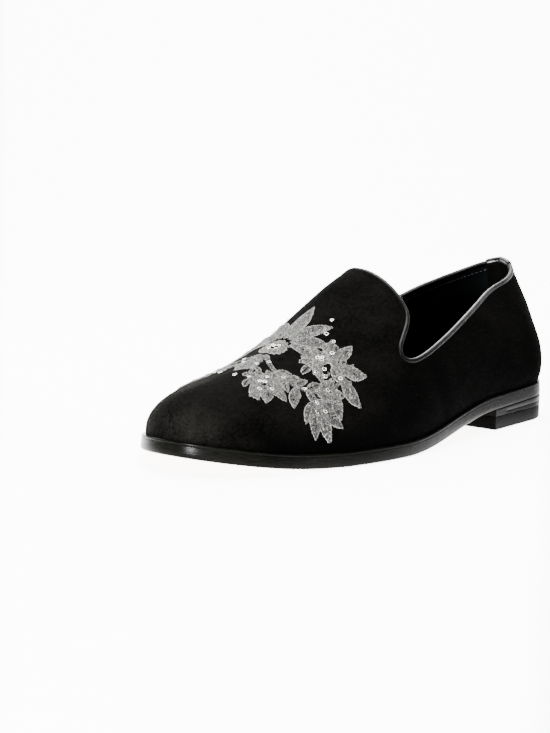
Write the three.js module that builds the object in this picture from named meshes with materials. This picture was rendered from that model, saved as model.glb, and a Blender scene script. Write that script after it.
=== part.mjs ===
// Velvet slipper loafer, left shoe, in millimetres.
// +X points to the toe, +Y to the outer (lateral) side and +Z up; the shoe stands on z = 0.
// Everything is worked out from one last: a sole outline, a ridge line over the foot, and
// sections that rise from the feather line (where upper and sole meet) to the ridge.
import * as THREE from 'three';

// Driving sizes, each written once.
const SOLE_LENGTH = 300;
const BALL_WIDTH = 104;
const SOLE_THICKNESS = 7.3;
const INSTEP_HEIGHT = 80;      // ridge above the sole's top where the tongue ends
const SEAT_HEIGHT = 11.1;      // sole's underside above the floor at the front of the heel
const SEAT_PITCH = 2.6;        // further rise from there to the back
const TOE_SPRING = 8.6;
const SPRING_POWER = 1.8;      // how gently the toe leaves the floor
const HEEL_LENGTH = 78;
const TOP_PIECE_THICKNESS = 7.2;
const WALL = 2;
const INSOLE_THICKNESS = 2.6;
const INSOLE_PLAY = 0.4;       // clearance between the insole and the inside of the wall
const BINDING_HEIGHT = 2.4;
const BINDING_SWELL = 0.35;    // how far the binding stands out from each face of the wall
const MARGIN_HEEL = 1.6;       // sole that shows outside the upper, at the heel and at the toe
const MARGIN_TOE = 2.4;
const EDGE_BEVEL = 1.1;        // rounding of the sole's lower edge
const EDGE_LIP = 0.5;          // rounding of the sole's upper edge
const BEVEL_SHOULDER = 0.3;    // where the lower edge turns, as a share of its rounding
const GAP = 0.3;               // clearance between pieces that meet
const TAB_WIDTH = 17;
const TAB_TAPER = 0.35;        // share of its half width that the tab loses at its outer end
const TAB_OUTSIDE = 8;         // how far the tab comes down outside and inside the collar
const TAB_INSIDE = 17;
const TAB_THICKNESS = 0.9;
const TAB_PLAY = 0.4;          // clearance between the tab and what it folds over
const TAB_REACH = 0.2;         // share of the way around within which the tab's width is measured

// Steps of the meshes.
const SOLE_STEPS = 64;
const HEEL_STEPS = 26;
const AROUND_STEPS = 60;
const UP_STEPS = 14;
const INSOLE_ROWS = 5;         // rows of the wall that the insole's edge is measured on
const TOE_CROWDING = 1.8;      // power that draws the shell's rows down towards the toe's feather line
const PATH_SAMPLES = 64;
const BINDING_SIDES = 6;
const TAB_ACROSS = 8;
const TAB_FOLD_STEPS = 6;
const ARC_SAMPLES = 800;
const DENSITY_SAMPLES = 400;
const TAB_SAMPLES = 40;
const HALVINGS = 40;           // steps of the search for the heel's straight front

// Small steps for slopes: along the ridge, around the outline, around the shell and up it.
const RIDGE_STEP = 0.001;
const OUTLINE_STEP = 0.002;
const TURN_STEP = 0.004;
const UP_STEP = 0.02;

// The shell's lines stand closer together at the throat's tight corner and at the heel: each
// row gives the place, its reach and how much closer, all along one side.
const CLOSER = [
  { at: 0.59, reach: 0.065, factor: 2.6 },
  { at: 0.00, reach: 0.060, factor: 0.8 },
];

// Where the sole leaves the floor and the heel curve starts and ends, as shares of the length.
const FLAT_START = 0.60;
const FLAT_END = 0.73;
const SEAT_END = 0.24;
const HEEL_ROUND = { reach: 0.11, power: 2.3 };
const TOE_ROUND = { reach: 0.183, power: 2.15 };

// The ridge starts and ends inside the outline by these shares of the length.
const RIDGE_START = 0.13;
const RIDGE_END = 0.925;

// From this share of the way around, and within this reach, the lines of the shell begin to turn
// a corner: up their own section first, and then back along the foot to the tongue.
const CORNER_START = 0.50;
const CORNER_REACH = 0.13;

function table(names, rows) {
  return Object.fromEntries(names.map((name, column) => [name, rows.map((row) => row[column])]));
}

// Sole outline: at is a share of the length; centre and half are shares of the ball width.
const OUTLINE = table(['at', 'centre', 'half'], [
  [0.00, -0.012, 0.292],
  [0.06, -0.003, 0.318],
  [0.16, 0.012, 0.339],
  [0.28, 0.040, 0.346],
  [0.42, 0.077, 0.368],
  [0.54, 0.071, 0.429],
  [0.64, 0.030, 0.481],
  [0.74, -0.010, 0.485],
  [0.84, -0.023, 0.445],
  [0.93, -0.014, 0.395],
  [1.00, 0.000, 0.345],
]);

// Ridge: height above the sole as a share of the instep height, side as a share of the ball
// width. Behind the tongue it is only the line that the quarters lean towards.
const RIDGE = table(['at', 'height', 'side'], [
  [0.05, 1.370, -0.044],
  [0.20, 1.175, -0.051],
  [0.35, 1.063, -0.051],
  [0.45, 1.005, -0.049],
  [0.55, 0.912, -0.046],
  [0.65, 0.696, -0.038],
  [0.75, 0.521, -0.032],
  [0.85, 0.409, -0.027],
  [0.95, 0.301, -0.019],
]);

// Sections, by their share of the way around from heel to toe. bulge and crown are shares of
// the distance to the ridge, rise and drop are shares of the ridge's height above the sole.
const SECTION = table(['around', 'bulge', 'rise', 'crown', 'drop'], [
  [0.00, 0.149, 0.304, 0.628, 0.209],
  [0.05, 0.184, 0.292, 0.484, 0.230],
  [0.10, 0.226, 0.282, 0.349, 0.245],
  [0.17, 0.220, 0.282, 0.307, 0.208],
  [0.28, 0.186, 0.311, 0.423, 0.089],
  [0.42, 0.123, 0.353, 0.615, 0.000],
  [0.56, 0.042, 0.374, 0.580, 0.000],
  [0.70, 0.007, 0.428, 0.430, 0.022],
  [0.84, 0.027, 0.518, 0.398, 0.022],
  [0.93, 0.082, 0.574, 0.446, 0.012],
  [1.00, 0.109, 0.594, 0.485, 0.003],
]);

// Topline from the back of the collar, past the throat, to the tongue's tip: the share of the
// way around, and up the section there.
const TOPLINE = table(['around', 'up'], [
  [0.000, 0.577],
  [0.080, 0.578],
  [0.177, 0.563],
  [0.274, 0.495],
  [0.370, 0.439],
  [0.456, 0.407],
  [0.526, 0.406],
  [0.541, 0.476],
  [0.497, 0.562],
  [0.478, 0.688],
  [0.469, 0.855],
  [0.459, 1.000],
]);
const TONGUE_SLOPE = -0.13;    // change of around at the tongue's tip, so that it crosses the ridge squarely

const clamp = (value) => Math.min(1, Math.max(0, value));
const smoothstep = (t) => t * t * (3 - 2 * t);
const mix = (a, b, t) => a + (b - a) * t;

// Cubic spline through a table's column. An end slope of null leaves that end free.
function spline(xs, ys, startSlope = null, endSlope = null) {
  const count = xs.length;
  const lower = new Array(count).fill(0);
  const middle = new Array(count).fill(1);
  const upper = new Array(count).fill(0);
  const right = new Array(count).fill(0);
  const step = (i) => xs[i + 1] - xs[i];
  const rate = (i) => (ys[i + 1] - ys[i]) / step(i);
  for (let i = 1; i < count - 1; i++) {
    lower[i] = step(i - 1);
    middle[i] = 2 * (step(i - 1) + step(i));
    upper[i] = step(i);
    right[i] = 6 * (rate(i) - rate(i - 1));
  }
  if (startSlope !== null) {
    middle[0] = 2 * step(0);
    upper[0] = step(0);
    right[0] = 6 * (rate(0) - startSlope);
  }
  if (endSlope !== null) {
    lower[count - 1] = step(count - 2);
    middle[count - 1] = 2 * step(count - 2);
    right[count - 1] = 6 * (endSlope - rate(count - 2));
  }
  for (let i = 1; i < count; i++) {
    const factor = lower[i] / middle[i - 1];
    middle[i] -= factor * upper[i - 1];
    right[i] -= factor * right[i - 1];
  }
  const bend = new Array(count).fill(0);
  bend[count - 1] = right[count - 1] / middle[count - 1];
  for (let i = count - 2; i >= 0; i--) {
    bend[i] = (right[i] - upper[i] * bend[i + 1]) / middle[i];
  }
  return (value) => {
    const x = Math.min(xs[count - 1], Math.max(xs[0], value));
    let i = 0;
    while (i < count - 2 && x > xs[i + 1]) i++;
    const h = step(i);
    const a = (xs[i + 1] - x) / h;
    const b = (x - xs[i]) / h;
    const curve = ((a ** 3 - a) * bend[i] + (b ** 3 - b) * bend[i + 1]) * h * h / 6;
    return a * ys[i] + b * ys[i + 1] + curve;
  };
}

const outlineCentre = spline(OUTLINE.at, OUTLINE.centre);
const outlineHalf = spline(OUTLINE.at, OUTLINE.half);
const ridgeHeight = spline(RIDGE.at, RIDGE.height);
const ridgeSide = spline(RIDGE.at, RIDGE.side);
const sectionOf = Object.fromEntries(['bulge', 'rise', 'crown', 'drop']
  .map((name) => [name, spline(SECTION.around, SECTION[name])]));
const toplineSteps = TOPLINE.around.map((_, row) => row / (TOPLINE.around.length - 1));
const toplineAround = spline(toplineSteps, TOPLINE.around, null, TONGUE_SLOPE);
const toplineUp = spline(toplineSteps, TOPLINE.up, 0, null);

// Height of the sole's underside above the floor at a share of the length: the heel seat, the
// arch falling to the flat tread, and the toe spring.
function underside(at) {
  const arch = smoothstep(clamp((FLAT_START - at) / (FLAT_START - SEAT_END)));
  const pitch = clamp((SEAT_END - at) / SEAT_END);
  const spring = clamp((at - FLAT_END) / (1 - FLAT_END)) ** SPRING_POWER;
  return SEAT_HEIGHT * arch + SEAT_PITCH * pitch + TOE_SPRING * spring;
}
const soleTop = (at) => underside(at) + SOLE_THICKNESS;
const shareAt = (x) => x / SOLE_LENGTH + 0.5;

// Rounding of the two ends of the outline, as a superellipse.
function endRounding(at) {
  const heel = clamp(1 - at / HEEL_ROUND.reach);
  const toe = clamp(1 - (1 - at) / TOE_ROUND.reach);
  return (1 - heel ** HEEL_ROUND.power) ** (1 / HEEL_ROUND.power)
    * (1 - toe ** TOE_ROUND.power) ** (1 / TOE_ROUND.power);
}

function outlineY(at, side) {
  return BALL_WIDTH * (outlineCentre(at) + side * outlineHalf(at) * endRounding(at));
}

// The outline at even steps of its own length, for each side: share of length by share of arc.
function arcTable(side) {
  const shares = [];
  const lengths = [0];
  for (let i = 0; i <= ARC_SAMPLES; i++) shares.push((1 - Math.cos(Math.PI * i / ARC_SAMPLES)) / 2);
  for (let i = 1; i <= ARC_SAMPLES; i++) {
    const dx = (shares[i] - shares[i - 1]) * SOLE_LENGTH;
    const dy = outlineY(shares[i], side) - outlineY(shares[i - 1], side);
    lengths.push(lengths[i - 1] + Math.hypot(dx, dy));
  }
  return { shares, lengths };
}
const ARC = { 1: arcTable(1), '-1': arcTable(-1) };

// Half the difference of the two sides' widest points, so that the shoe is centred on y = 0.
const widest = (side) => Math.max(...ARC[side].shares.map((at) => side * outlineY(at, side)));
const CENTRING = (widest(-1) - widest(1)) / 2;

// Looks a value up in rising keys and returns the matching value between two columns.
function lookUp(keys, values, key) {
  let low = 0;
  let high = keys.length - 1;
  while (high - low > 1) {
    const half = (low + high) >> 1;
    if (keys[half] <= key) low = half;
    else high = half;
  }
  const t = clamp((key - keys[low]) / (keys[high] - keys[low]));
  return mix(values[low], values[high], t);
}

function arcShare(around, side) {
  const { shares, lengths } = ARC[side];
  return lookUp(lengths, shares, around * lengths[lengths.length - 1]);
}

// A point of the outline at a share of the way around one side; past either tip it goes on
// along the other side.
function outlinePoint(around, side) {
  let way = around;
  let here = side;
  if (way < 0 || way > 1) {
    way = way < 0 ? -way : 2 - way;
    here = -side;
  }
  const at = arcShare(way, here);
  return [(at - 0.5) * SOLE_LENGTH, outlineY(at, here) + CENTRING];
}

// The outline moved inwards, square to itself.
function insetPoint(around, side, inset) {
  const [x, y] = outlinePoint(around, side);
  const [x0, y0] = outlinePoint(around - OUTLINE_STEP, side);
  const [x1, y1] = outlinePoint(around + OUTLINE_STEP, side);
  const length = Math.hypot(x1 - x0, y1 - y0);
  return [
    x + side * inset * (y1 - y0) / length,
    y - side * inset * (x1 - x0) / length,
  ];
}

const margin = (around) => mix(MARGIN_HEEL, MARGIN_TOE, smoothstep(clamp(around)));

// The feather line: the upper's lower edge, just above the sole.
function featherPoint(around, side) {
  const [x, y] = insetPoint(around, side, margin(around));
  return [x, y, soleTop(shareAt(x)) + GAP];
}

function ridgePoint(at) {
  return [
    (at - 0.5) * SOLE_LENGTH,
    BALL_WIDTH * ridgeSide(at) + CENTRING,
    soleTop(at) + INSTEP_HEIGHT * ridgeHeight(at),
  ];
}

// The last's surface: at each way around, a cubic curve from the feather line, out by bulge and
// up by rise, to the ridge, which it reaches level with the ridge's own slope, less drop.
function lastPoint(around, up, side) {
  const foot = featherPoint(around, side);
  const at = mix(RIDGE_START, RIDGE_END, (arcShare(around, 1) + arcShare(around, -1)) / 2);
  const ridge = ridgePoint(at);
  const ahead = ridgePoint(at + RIDGE_STEP);
  const behind = ridgePoint(at - RIDGE_STEP);
  const slope = (ahead[2] - behind[2]) / (ahead[0] - behind[0]);
  const dx = foot[0] - ridge[0];
  const dy = foot[1] - ridge[1];
  const height = ridge[2] - foot[2];
  const bulge = sectionOf.bulge(around);
  const crown = sectionOf.crown(around);
  const low = [foot[0] + bulge * dx, foot[1] + bulge * dy, foot[2] + sectionOf.rise(around) * height];
  const high = [
    ridge[0] + crown * dx,
    ridge[1] + crown * dy,
    ridge[2] + slope * crown * dx - sectionOf.drop(around) * height,
  ];
  const rest = 1 - up;
  const weights = [rest ** 3, 3 * up * rest ** 2, 3 * up ** 2 * rest, up ** 3];
  const corners = [foot, low, high, ridge];
  return [0, 1, 2].map((axis) => corners.reduce((sum, point, i) => sum + weights[i] * point[axis], 0));
}

const distance = (a, b) => Math.hypot(a[0] - b[0], a[1] - b[1], a[2] - b[2]);
const add = (a, b, factor = 1) => a.map((value, axis) => value + factor * b[axis]);
const subtract = (a, b) => add(a, b, -1);
const dot = (a, b) => a.reduce((sum, value, axis) => sum + value * b[axis], 0);
const unit = (a) => {
  const length = Math.hypot(...a);
  return a.map((value) => value / length);
};
const cross = (a, b) => [
  a[1] * b[2] - a[2] * b[1],
  a[2] * b[0] - a[0] * b[2],
  a[0] * b[1] - a[1] * b[0],
];

// A place on the topline's finished edge. turn runs once around the shoe: 0 at the heel, up to 1
// at the toe along the outer side, then back to 2 along the inner side.
function placeOf(turn) {
  const wrapped = ((turn % 2) + 2) % 2;
  const side = wrapped <= 1 ? 1 : -1;
  return { side, around: wrapped <= 1 ? wrapped : 2 - wrapped };
}
function finishedEdge(turn) {
  const { side, around } = placeOf(turn);
  return lastPoint(toplineAround(around), toplineUp(around), side);
}

// Where the velvet is cut, as around and up: the finished edge moved back over the last, square
// to the edge, by the height of the binding that caps it.
function cutPlace(turn) {
  const step = TURN_STEP;
  const { side, around } = placeOf(turn);
  const edge = { around: toplineAround(around), up: toplineUp(around) };
  const lowUp = Math.min(edge.up, 1 - step);
  const here = lastPoint(edge.around, lowUp, side);
  const onward = subtract(lastPoint(edge.around + step, lowUp, side), here).map((v) => v / step);
  const upward = subtract(lastPoint(edge.around, lowUp + step, side), here).map((v) => v / step);
  const out = unit(cross(upward, onward)).map((value) => side * value);
  const along = unit(subtract(finishedEdge(turn + step), finishedEdge(turn - step)));
  const back = cross(out, along).map((value) => value * (BINDING_HEIGHT + GAP));
  const aa = dot(onward, onward);
  const ab = dot(onward, upward);
  const bb = dot(upward, upward);
  const area = aa * bb - ab * ab;
  const moveAround = (dot(onward, back) * bb - dot(upward, back) * ab) / area;
  const moveUp = (dot(upward, back) * aa - dot(onward, back) * ab) / area;
  return { side, around, endAround: edge.around + moveAround, endUp: Math.min(1, edge.up + moveUp) };
}

// A line over the shell from the feather line to the cut edge. Towards the toe the line first
// climbs its own section and then follows the ridge back.
const pathCache = new Map();
function shellPath(turn) {
  const key = turn.toFixed(6);
  if (pathCache.has(key)) return pathCache.get(key);
  const { side, around, endAround, endUp } = cutPlace(turn);
  const corner = smoothstep(clamp((around - CORNER_START) / CORNER_REACH));
  const points = [];
  const lengths = [0];
  for (let i = 0; i <= PATH_SAMPLES; i++) {
    const t = i / PATH_SAMPLES;
    const along = mix(t, clamp(2 * t - 1), corner);
    const up = mix(t, clamp(2 * t), corner);
    points.push(lastPoint(mix(around, endAround, along), endUp * up, side));
    if (i > 0) lengths.push(lengths[i - 1] + distance(points[i], points[i - 1]));
  }
  const path = { points, lengths, total: lengths[PATH_SAMPLES] };
  pathCache.set(key, path);
  return path;
}

// A point of the shell's outer face at a distance along its line from the feather line.
function shellPoint(turn, length) {
  const { points, lengths } = shellPath(turn);
  return [0, 1, 2].map((axis) => lookUp(lengths, points.map((point) => point[axis]), length));
}

// The outward normal there, from four points nearby.
function shellNormal(turn, share) {
  const low = Math.max(0, share - UP_STEP);
  const high = Math.min(1, share + UP_STEP);
  const at = (t, s) => shellPoint(t, s * shellPath(t).total);
  const onward = subtract(at(turn + TURN_STEP, share), at(turn - TURN_STEP, share));
  const upward = subtract(at(turn, high), at(turn, low));
  return unit(cross(upward, onward));
}

// The turns at which the shell has its lines, once around the shoe.
function makeTurns() {
  const count = DENSITY_SAMPLES;
  const density = (share) => CLOSER.reduce(
    (sum, { at, reach, factor }) => sum + factor * Math.exp(-(((share - at) / reach) ** 2)), 1);
  const shares = Array.from({ length: count + 1 }, (_, i) => i / count);
  const totals = [0];
  for (let i = 1; i <= count; i++) totals.push(totals[i - 1] + density((i - 0.5) / count));
  const side = Array.from({ length: AROUND_STEPS + 1 },
    (_, i) => lookUp(totals, shares, totals[count] * i / AROUND_STEPS));
  const back = side.slice(1, -1).reverse().map((share) => 2 - share);
  return [...side, ...back];
}
const TURNS = makeTurns();

// A closed solid from its vertices and triangles.
function solid(name, vertices, triangles, color, roughness) {
  const geometry = new THREE.BufferGeometry();
  geometry.setAttribute('position', new THREE.Float32BufferAttribute(vertices.flat(), 3));
  geometry.setIndex(triangles.flat());
  geometry.computeVertexNormals();
  const mesh = new THREE.Mesh(geometry, new THREE.MeshStandardMaterial({ color, roughness, metalness: 0 }));
  mesh.name = name;
  return mesh;
}

// The two triangles of a quad whose corners run anticlockwise seen from outside.
const quad = (a, b, c, d) => [[a, b, c], [a, c, d]];

// A solid from rings stacked upwards. Each ring runs from the heel's tip along the outer side
// and back along the inner side, and the lowest and highest rings are closed by strips across.
function ringSolid(name, rings, color, roughness) {
  const count = rings[0].length;
  const triangles = [];
  for (let level = 0; level + 1 < rings.length; level++) {
    for (let i = 0; i < count; i++) {
      const next = (i + 1) % count;
      const low = level * count;
      triangles.push(...quad(low + next, low + i, low + count + i, low + count + next));
    }
  }
  const top = (rings.length - 1) * count;
  for (let i = 0; 2 * i + 1 < count; i++) {
    const outer = [i, i + 1];
    const inner = [(count - i) % count, count - i - 1];
    const corners = [outer[0], outer[1], inner[1], inner[0]];
    const kept = corners.filter((corner, j) => corners.indexOf(corner) === j);
    if (kept.length < 3) continue;
    for (let j = 1; j + 1 < kept.length; j++) {
      triangles.push([kept[0], kept[j], kept[j + 1]]);
      triangles.push([top + kept[0], top + kept[j + 1], top + kept[j]]);
    }
  }
  return solid(name, rings.flat(), triangles, color, roughness);
}

// A ring at an inset from the outline; height is a function of the share of the length.
function wholeRing(steps, inset, height) {
  const point = (around, side) => {
    const [x, y] = insetPoint(around, side, inset(around));
    return [x, y, height(shareAt(x))];
  };
  const outer = Array.from({ length: steps + 1 }, (_, i) => point(i / steps, 1));
  const inner = Array.from({ length: steps - 1 }, (_, i) => point(1 - (i + 1) / steps, -1));
  return [...outer, ...inner];
}

// A ring of the heel: the outline as far as the straight front of the heel.
function heelRing(inset, height) {
  const front = HEEL_LENGTH - SOLE_LENGTH / 2 - inset;
  const reach = (side) => {
    let low = 0;
    let high = 0.5;
    for (let i = 0; i < HALVINGS; i++) {
      const half = (low + high) / 2;
      if (insetPoint(half, side, inset)[0] < front) low = half;
      else high = half;
    }
    return low;
  };
  const point = (share, side) => {
    const [x, y] = insetPoint(share * reach(side), side, inset);
    return [x, y, height(shareAt(x))];
  };
  const outer = Array.from({ length: HEEL_STEPS + 1 }, (_, i) => point(i / HEEL_STEPS, 1));
  const inner = Array.from({ length: HEEL_STEPS }, (_, i) => point(1 - i / HEEL_STEPS, -1));
  return [...outer, ...inner];
}

function makeOutsole() {
  const ring = (inset, height) => wholeRing(SOLE_STEPS, () => inset, height);
  return ringSolid('outsole', [
    ring(EDGE_BEVEL, underside),
    ring(EDGE_BEVEL * BEVEL_SHOULDER, (at) => underside(at) + EDGE_BEVEL * BEVEL_SHOULDER),
    ring(0, (at) => underside(at) + EDGE_BEVEL),
    ring(0, (at) => soleTop(at) - EDGE_LIP),
    ring(EDGE_LIP, soleTop),
  ], 0x16181a, 0.35);
}

// The leather lift is a wedge: level below, and following the sole's underside above.
function makeHeelLift() {
  return ringSolid('heel_lift', [
    heelRing(0, () => TOP_PIECE_THICKNESS + GAP),
    heelRing(0, (at) => underside(at) - GAP),
  ], 0x191b1d, 0.4);
}

function makeTopPiece() {
  return ringSolid('heel_top_piece', [
    heelRing(EDGE_LIP, () => 0),
    heelRing(0, () => EDGE_LIP),
    heelRing(0, () => TOP_PIECE_THICKNESS),
  ], 0x0e0f10, 0.55);
}

// The wall at one row of its mesh, counted up from the feather line: the outer and inner points
// and the way out. The rows crowd down at the toe, and the lowest inner point stands level on
// the sole.
function wallPoints(turn, row) {
  const crowding = mix(1, TOE_CROWDING, smoothstep(placeOf(turn).around));
  const share = (row / UP_STEPS) ** crowding;
  const outer = shellPoint(turn, shellPath(turn).total * share);
  const out = shellNormal(turn, share);
  const inner = add(outer, out, -WALL);
  if (row === 0) inner[2] = soleTop(shareAt(inner[0])) + GAP;
  return { outer, inner, out };
}

// The insole fills the inside of the wall, and its edge follows the lowest facets of the wall's
// inner face.
function makeInsole() {
  const ring = (height) => TURNS.map((turn) => {
    const rows = Array.from({ length: INSOLE_ROWS }, (_, row) => wallPoints(turn, row));
    const heights = rows.map(({ inner }) => inner[2] - soleTop(shareAt(inner[0])));
    const edge = [0, 1].map((axis) => lookUp(heights, rows.map(({ inner }) => inner[axis]), GAP + height));
    const [x, y] = add([...edge, 0], rows[0].out, -INSOLE_PLAY);
    return [x, y, soleTop(shareAt(x)) + GAP + height];
  });
  return ringSolid('insole', [ring(0), ring(INSOLE_THICKNESS)], 0x1b2022, 0.6);
}

// The upper is a hollow shell: an outer and an inner face, joined along the feather line and
// along the topline.
function makeUpper() {
  const columns = TURNS.length;
  const outer = [];
  const inner = [];
  for (const turn of TURNS) {
    for (let j = 0; j <= UP_STEPS; j++) {
      const points = wallPoints(turn, j);
      outer.push(points.outer);
      inner.push(points.inner);
    }
  }
  const rows = UP_STEPS + 1;
  const base = outer.length;
  const triangles = [];
  for (let i = 0; i < columns; i++) {
    const here = i * rows;
    const next = ((i + 1) % columns) * rows;
    for (let j = 0; j < UP_STEPS; j++) {
      triangles.push(...quad(next + j, here + j, here + j + 1, next + j + 1));
      triangles.push(...quad(base + here + j, base + next + j, base + next + j + 1, base + here + j + 1));
    }
    triangles.push(...quad(here + UP_STEPS, base + here + UP_STEPS, base + next + UP_STEPS, next + UP_STEPS));
    triangles.push(...quad(base + here, here, next, base + next));
  }
  return solid('upper', [...outer, ...inner], triangles, 0x15120f, 0.9);
}

// Where the wall ends at one place on the topline: its middle, the way out of the wall, and the
// way on past the edge, square to both the wall and the edge.
function edgeFrame(turn) {
  const end = (t) => shellPoint(t, shellPath(t).total);
  const out = shellNormal(turn, 1);
  const on = unit(cross(subtract(end(turn + TURN_STEP), end(turn - TURN_STEP)), out));
  return { middle: add(end(turn), out, -WALL / 2), out, on };
}

// The binding is a rounded roll of leather that caps the cut edge all the way around.
function makeBinding() {
  const columns = TURNS.length;
  const vertices = [];
  const triangles = [];
  for (const turn of TURNS) {
    const { middle, out, on } = edgeFrame(turn);
    const centre = add(middle, on, GAP + BINDING_HEIGHT / 2);
    for (let j = 0; j < BINDING_SIDES; j++) {
      const angle = 2 * Math.PI * (j + 0.5) / BINDING_SIDES;
      const across = (WALL / 2 + BINDING_SWELL) * Math.cos(angle) / Math.cos(Math.PI / BINDING_SIDES);
      const along = (BINDING_HEIGHT / 2) * Math.sin(angle) / Math.cos(Math.PI / BINDING_SIDES);
      vertices.push(add(add(centre, out, across), on, along));
    }
  }
  for (let i = 0; i < columns; i++) {
    const here = i * BINDING_SIDES;
    const next = ((i + 1) % columns) * BINDING_SIDES;
    for (let j = 0; j < BINDING_SIDES; j++) {
      const above = (j + 1) % BINDING_SIDES;
      triangles.push(...quad(next + j, here + j, here + above, next + above));
    }
  }
  return solid('topline_binding', vertices, triangles, 0x101112, 0.3);
}

// The tab lies on the outer face, turns over the binding and lies down the inner face. Each of
// its lines follows the shell at its own place around the heel.
function makeHeelTab() {
  const over = WALL / 2 + BINDING_SWELL + TAB_PLAY;
  const turns = Array.from({ length: TAB_SAMPLES + 1 }, (_, i) => TAB_REACH * i / TAB_SAMPLES);
  const lengthsTo = (side) => turns.reduce((lengths, turn, i) => [...lengths, i === 0 ? 0
    : lengths[i - 1] + distance(edgeFrame(side * turn).middle, edgeFrame(side * turns[i - 1]).middle)], []);
  const lengths = { 1: lengthsTo(1), '-1': lengthsTo(-1) };
  const turnAt = (offset) => Math.sign(offset) * lookUp(lengths[offset < 0 ? -1 : 1], turns, Math.abs(offset));
  const line = (share) => {
    const stations = [];
    const place = (depth, width) => {
      const turn = turnAt(share * width * TAB_WIDTH / 2);
      const { total } = shellPath(turn);
      return { point: shellPoint(turn, total - depth), normal: shellNormal(turn, 1 - depth / total) };
    };
    const flank = (depth, width, side) => {
      const { point, normal } = place(depth, width);
      const middle = add(point, normal, -WALL / 2);
      stations.push({ point: add(middle, normal, side * over), out: normal.map((value) => side * value) });
    };
    flank(TAB_OUTSIDE, 1 - TAB_TAPER, 1);
    flank(TAB_OUTSIDE / 2, 1 - TAB_TAPER / 2, 1);
    flank(0, 1, 1);
    const { middle, out, on } = edgeFrame(turnAt(share * TAB_WIDTH / 2));
    const centre = add(middle, on, GAP + BINDING_HEIGHT / 2);
    const height = BINDING_HEIGHT / 2 + TAB_PLAY;
    for (let i = 0; i <= TAB_FOLD_STEPS; i++) {
      const angle = Math.PI * i / TAB_FOLD_STEPS;
      const direction = add(out.map((value) => value * Math.cos(angle)), on, Math.sin(angle));
      const reach = over * height / Math.hypot(height * Math.cos(angle), over * Math.sin(angle));
      stations.push({ point: add(centre, direction, reach), out: direction });
    }
    flank(0, 1, -1);
    flank(TAB_INSIDE / 2, 1, -1);
    flank(TAB_INSIDE, 1, -1);
    return stations;
  };
  const lines = Array.from({ length: TAB_ACROSS + 1 }, (_, i) => line(2 * i / TAB_ACROSS - 1));
  const rows = lines[0].length;
  const near = lines.flatMap((stations) => stations.map(({ point }) => point));
  const far = lines.flatMap((stations) => stations.map(({ point, out }) => add(point, out, TAB_THICKNESS)));
  const base = near.length;
  const triangles = [];
  for (let i = 0; i < TAB_ACROSS; i++) {
    const here = i * rows;
    const next = here + rows;
    for (let j = 0; j + 1 < rows; j++) {
      triangles.push(...quad(here + j, next + j, next + j + 1, here + j + 1));
      triangles.push(...quad(base + next + j, base + here + j, base + here + j + 1, base + next + j + 1));
    }
    triangles.push(...quad(here, base + here, base + next, next));
    const last = rows - 1;
    triangles.push(...quad(here + last, next + last, base + next + last, base + here + last));
  }
  const end = TAB_ACROSS * rows;
  for (let j = 0; j + 1 < rows; j++) {
    triangles.push(...quad(j, j + 1, base + j + 1, base + j));
    triangles.push(...quad(end + j, base + end + j, base + end + j + 1, end + j + 1));
  }
  return solid('heel_tab', [...near, ...far], triangles, 0x0d0e0f, 0.25);
}

const group = new THREE.Group();
group.add(makeOutsole(), makeHeelLift(), makeTopPiece(), makeInsole());
group.add(makeUpper(), makeBinding(), makeHeelTab());

export default group;
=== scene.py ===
"""Velvet slipper loafer for the left foot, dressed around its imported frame.

Lengths are millimetres until a mesh is made. +X points to the toe, +Y to the outer side and +Z up.
Every piece is worked out from one last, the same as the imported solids': a sole outline, a ridge line
over the foot, and sections that rise from the feather line to the ridge.
"""

import enum
import logging
import math
from collections.abc import Callable
from dataclasses import dataclass, field

import bpy
import numpy as np
from mathutils import Matrix, Vector


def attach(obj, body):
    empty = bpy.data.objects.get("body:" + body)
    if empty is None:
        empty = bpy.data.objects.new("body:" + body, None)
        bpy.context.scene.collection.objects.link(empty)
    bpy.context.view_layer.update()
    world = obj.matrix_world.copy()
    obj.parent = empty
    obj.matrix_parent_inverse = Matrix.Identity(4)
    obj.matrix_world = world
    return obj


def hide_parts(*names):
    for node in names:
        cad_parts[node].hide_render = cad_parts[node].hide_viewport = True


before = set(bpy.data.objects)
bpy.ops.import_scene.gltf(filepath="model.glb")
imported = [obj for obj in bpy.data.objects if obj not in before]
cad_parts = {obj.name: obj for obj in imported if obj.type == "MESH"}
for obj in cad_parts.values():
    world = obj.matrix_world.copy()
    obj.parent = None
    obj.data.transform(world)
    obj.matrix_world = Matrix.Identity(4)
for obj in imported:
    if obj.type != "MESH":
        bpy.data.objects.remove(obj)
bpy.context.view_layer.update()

MM = 0.001
BODY = "root"
LEAST_STEP = 1e-9
LOG = logging.getLogger("slipper")


class Slot(enum.Enum):
    """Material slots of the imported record."""

    SOLE = "sole_leather"
    HEEL = "heel_leather"
    RUBBER = "heel_rubber"
    SOCK = "sock_leather"
    VELVET = "velvet"
    BINDING = "binding_leather"
    TAB = "tab_leather"


def clamp(value: np.ndarray) -> np.ndarray:
    """Limits values to 0 to 1."""
    return np.clip(value, 0.0, 1.0)


def smoothstep(t: np.ndarray) -> np.ndarray:
    """The cubic 3t² - 2t³."""
    return t * t * (3 - 2 * t)


def mix(a: np.ndarray, b: np.ndarray, t: np.ndarray) -> np.ndarray:
    """Goes from a at t 0 to b at t 1."""
    return a + (b - a) * t


def unit(vectors: np.ndarray) -> np.ndarray:
    """Vectors scaled to length 1."""
    return vectors / np.linalg.norm(vectors, axis=-1, keepdims=True)


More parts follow.
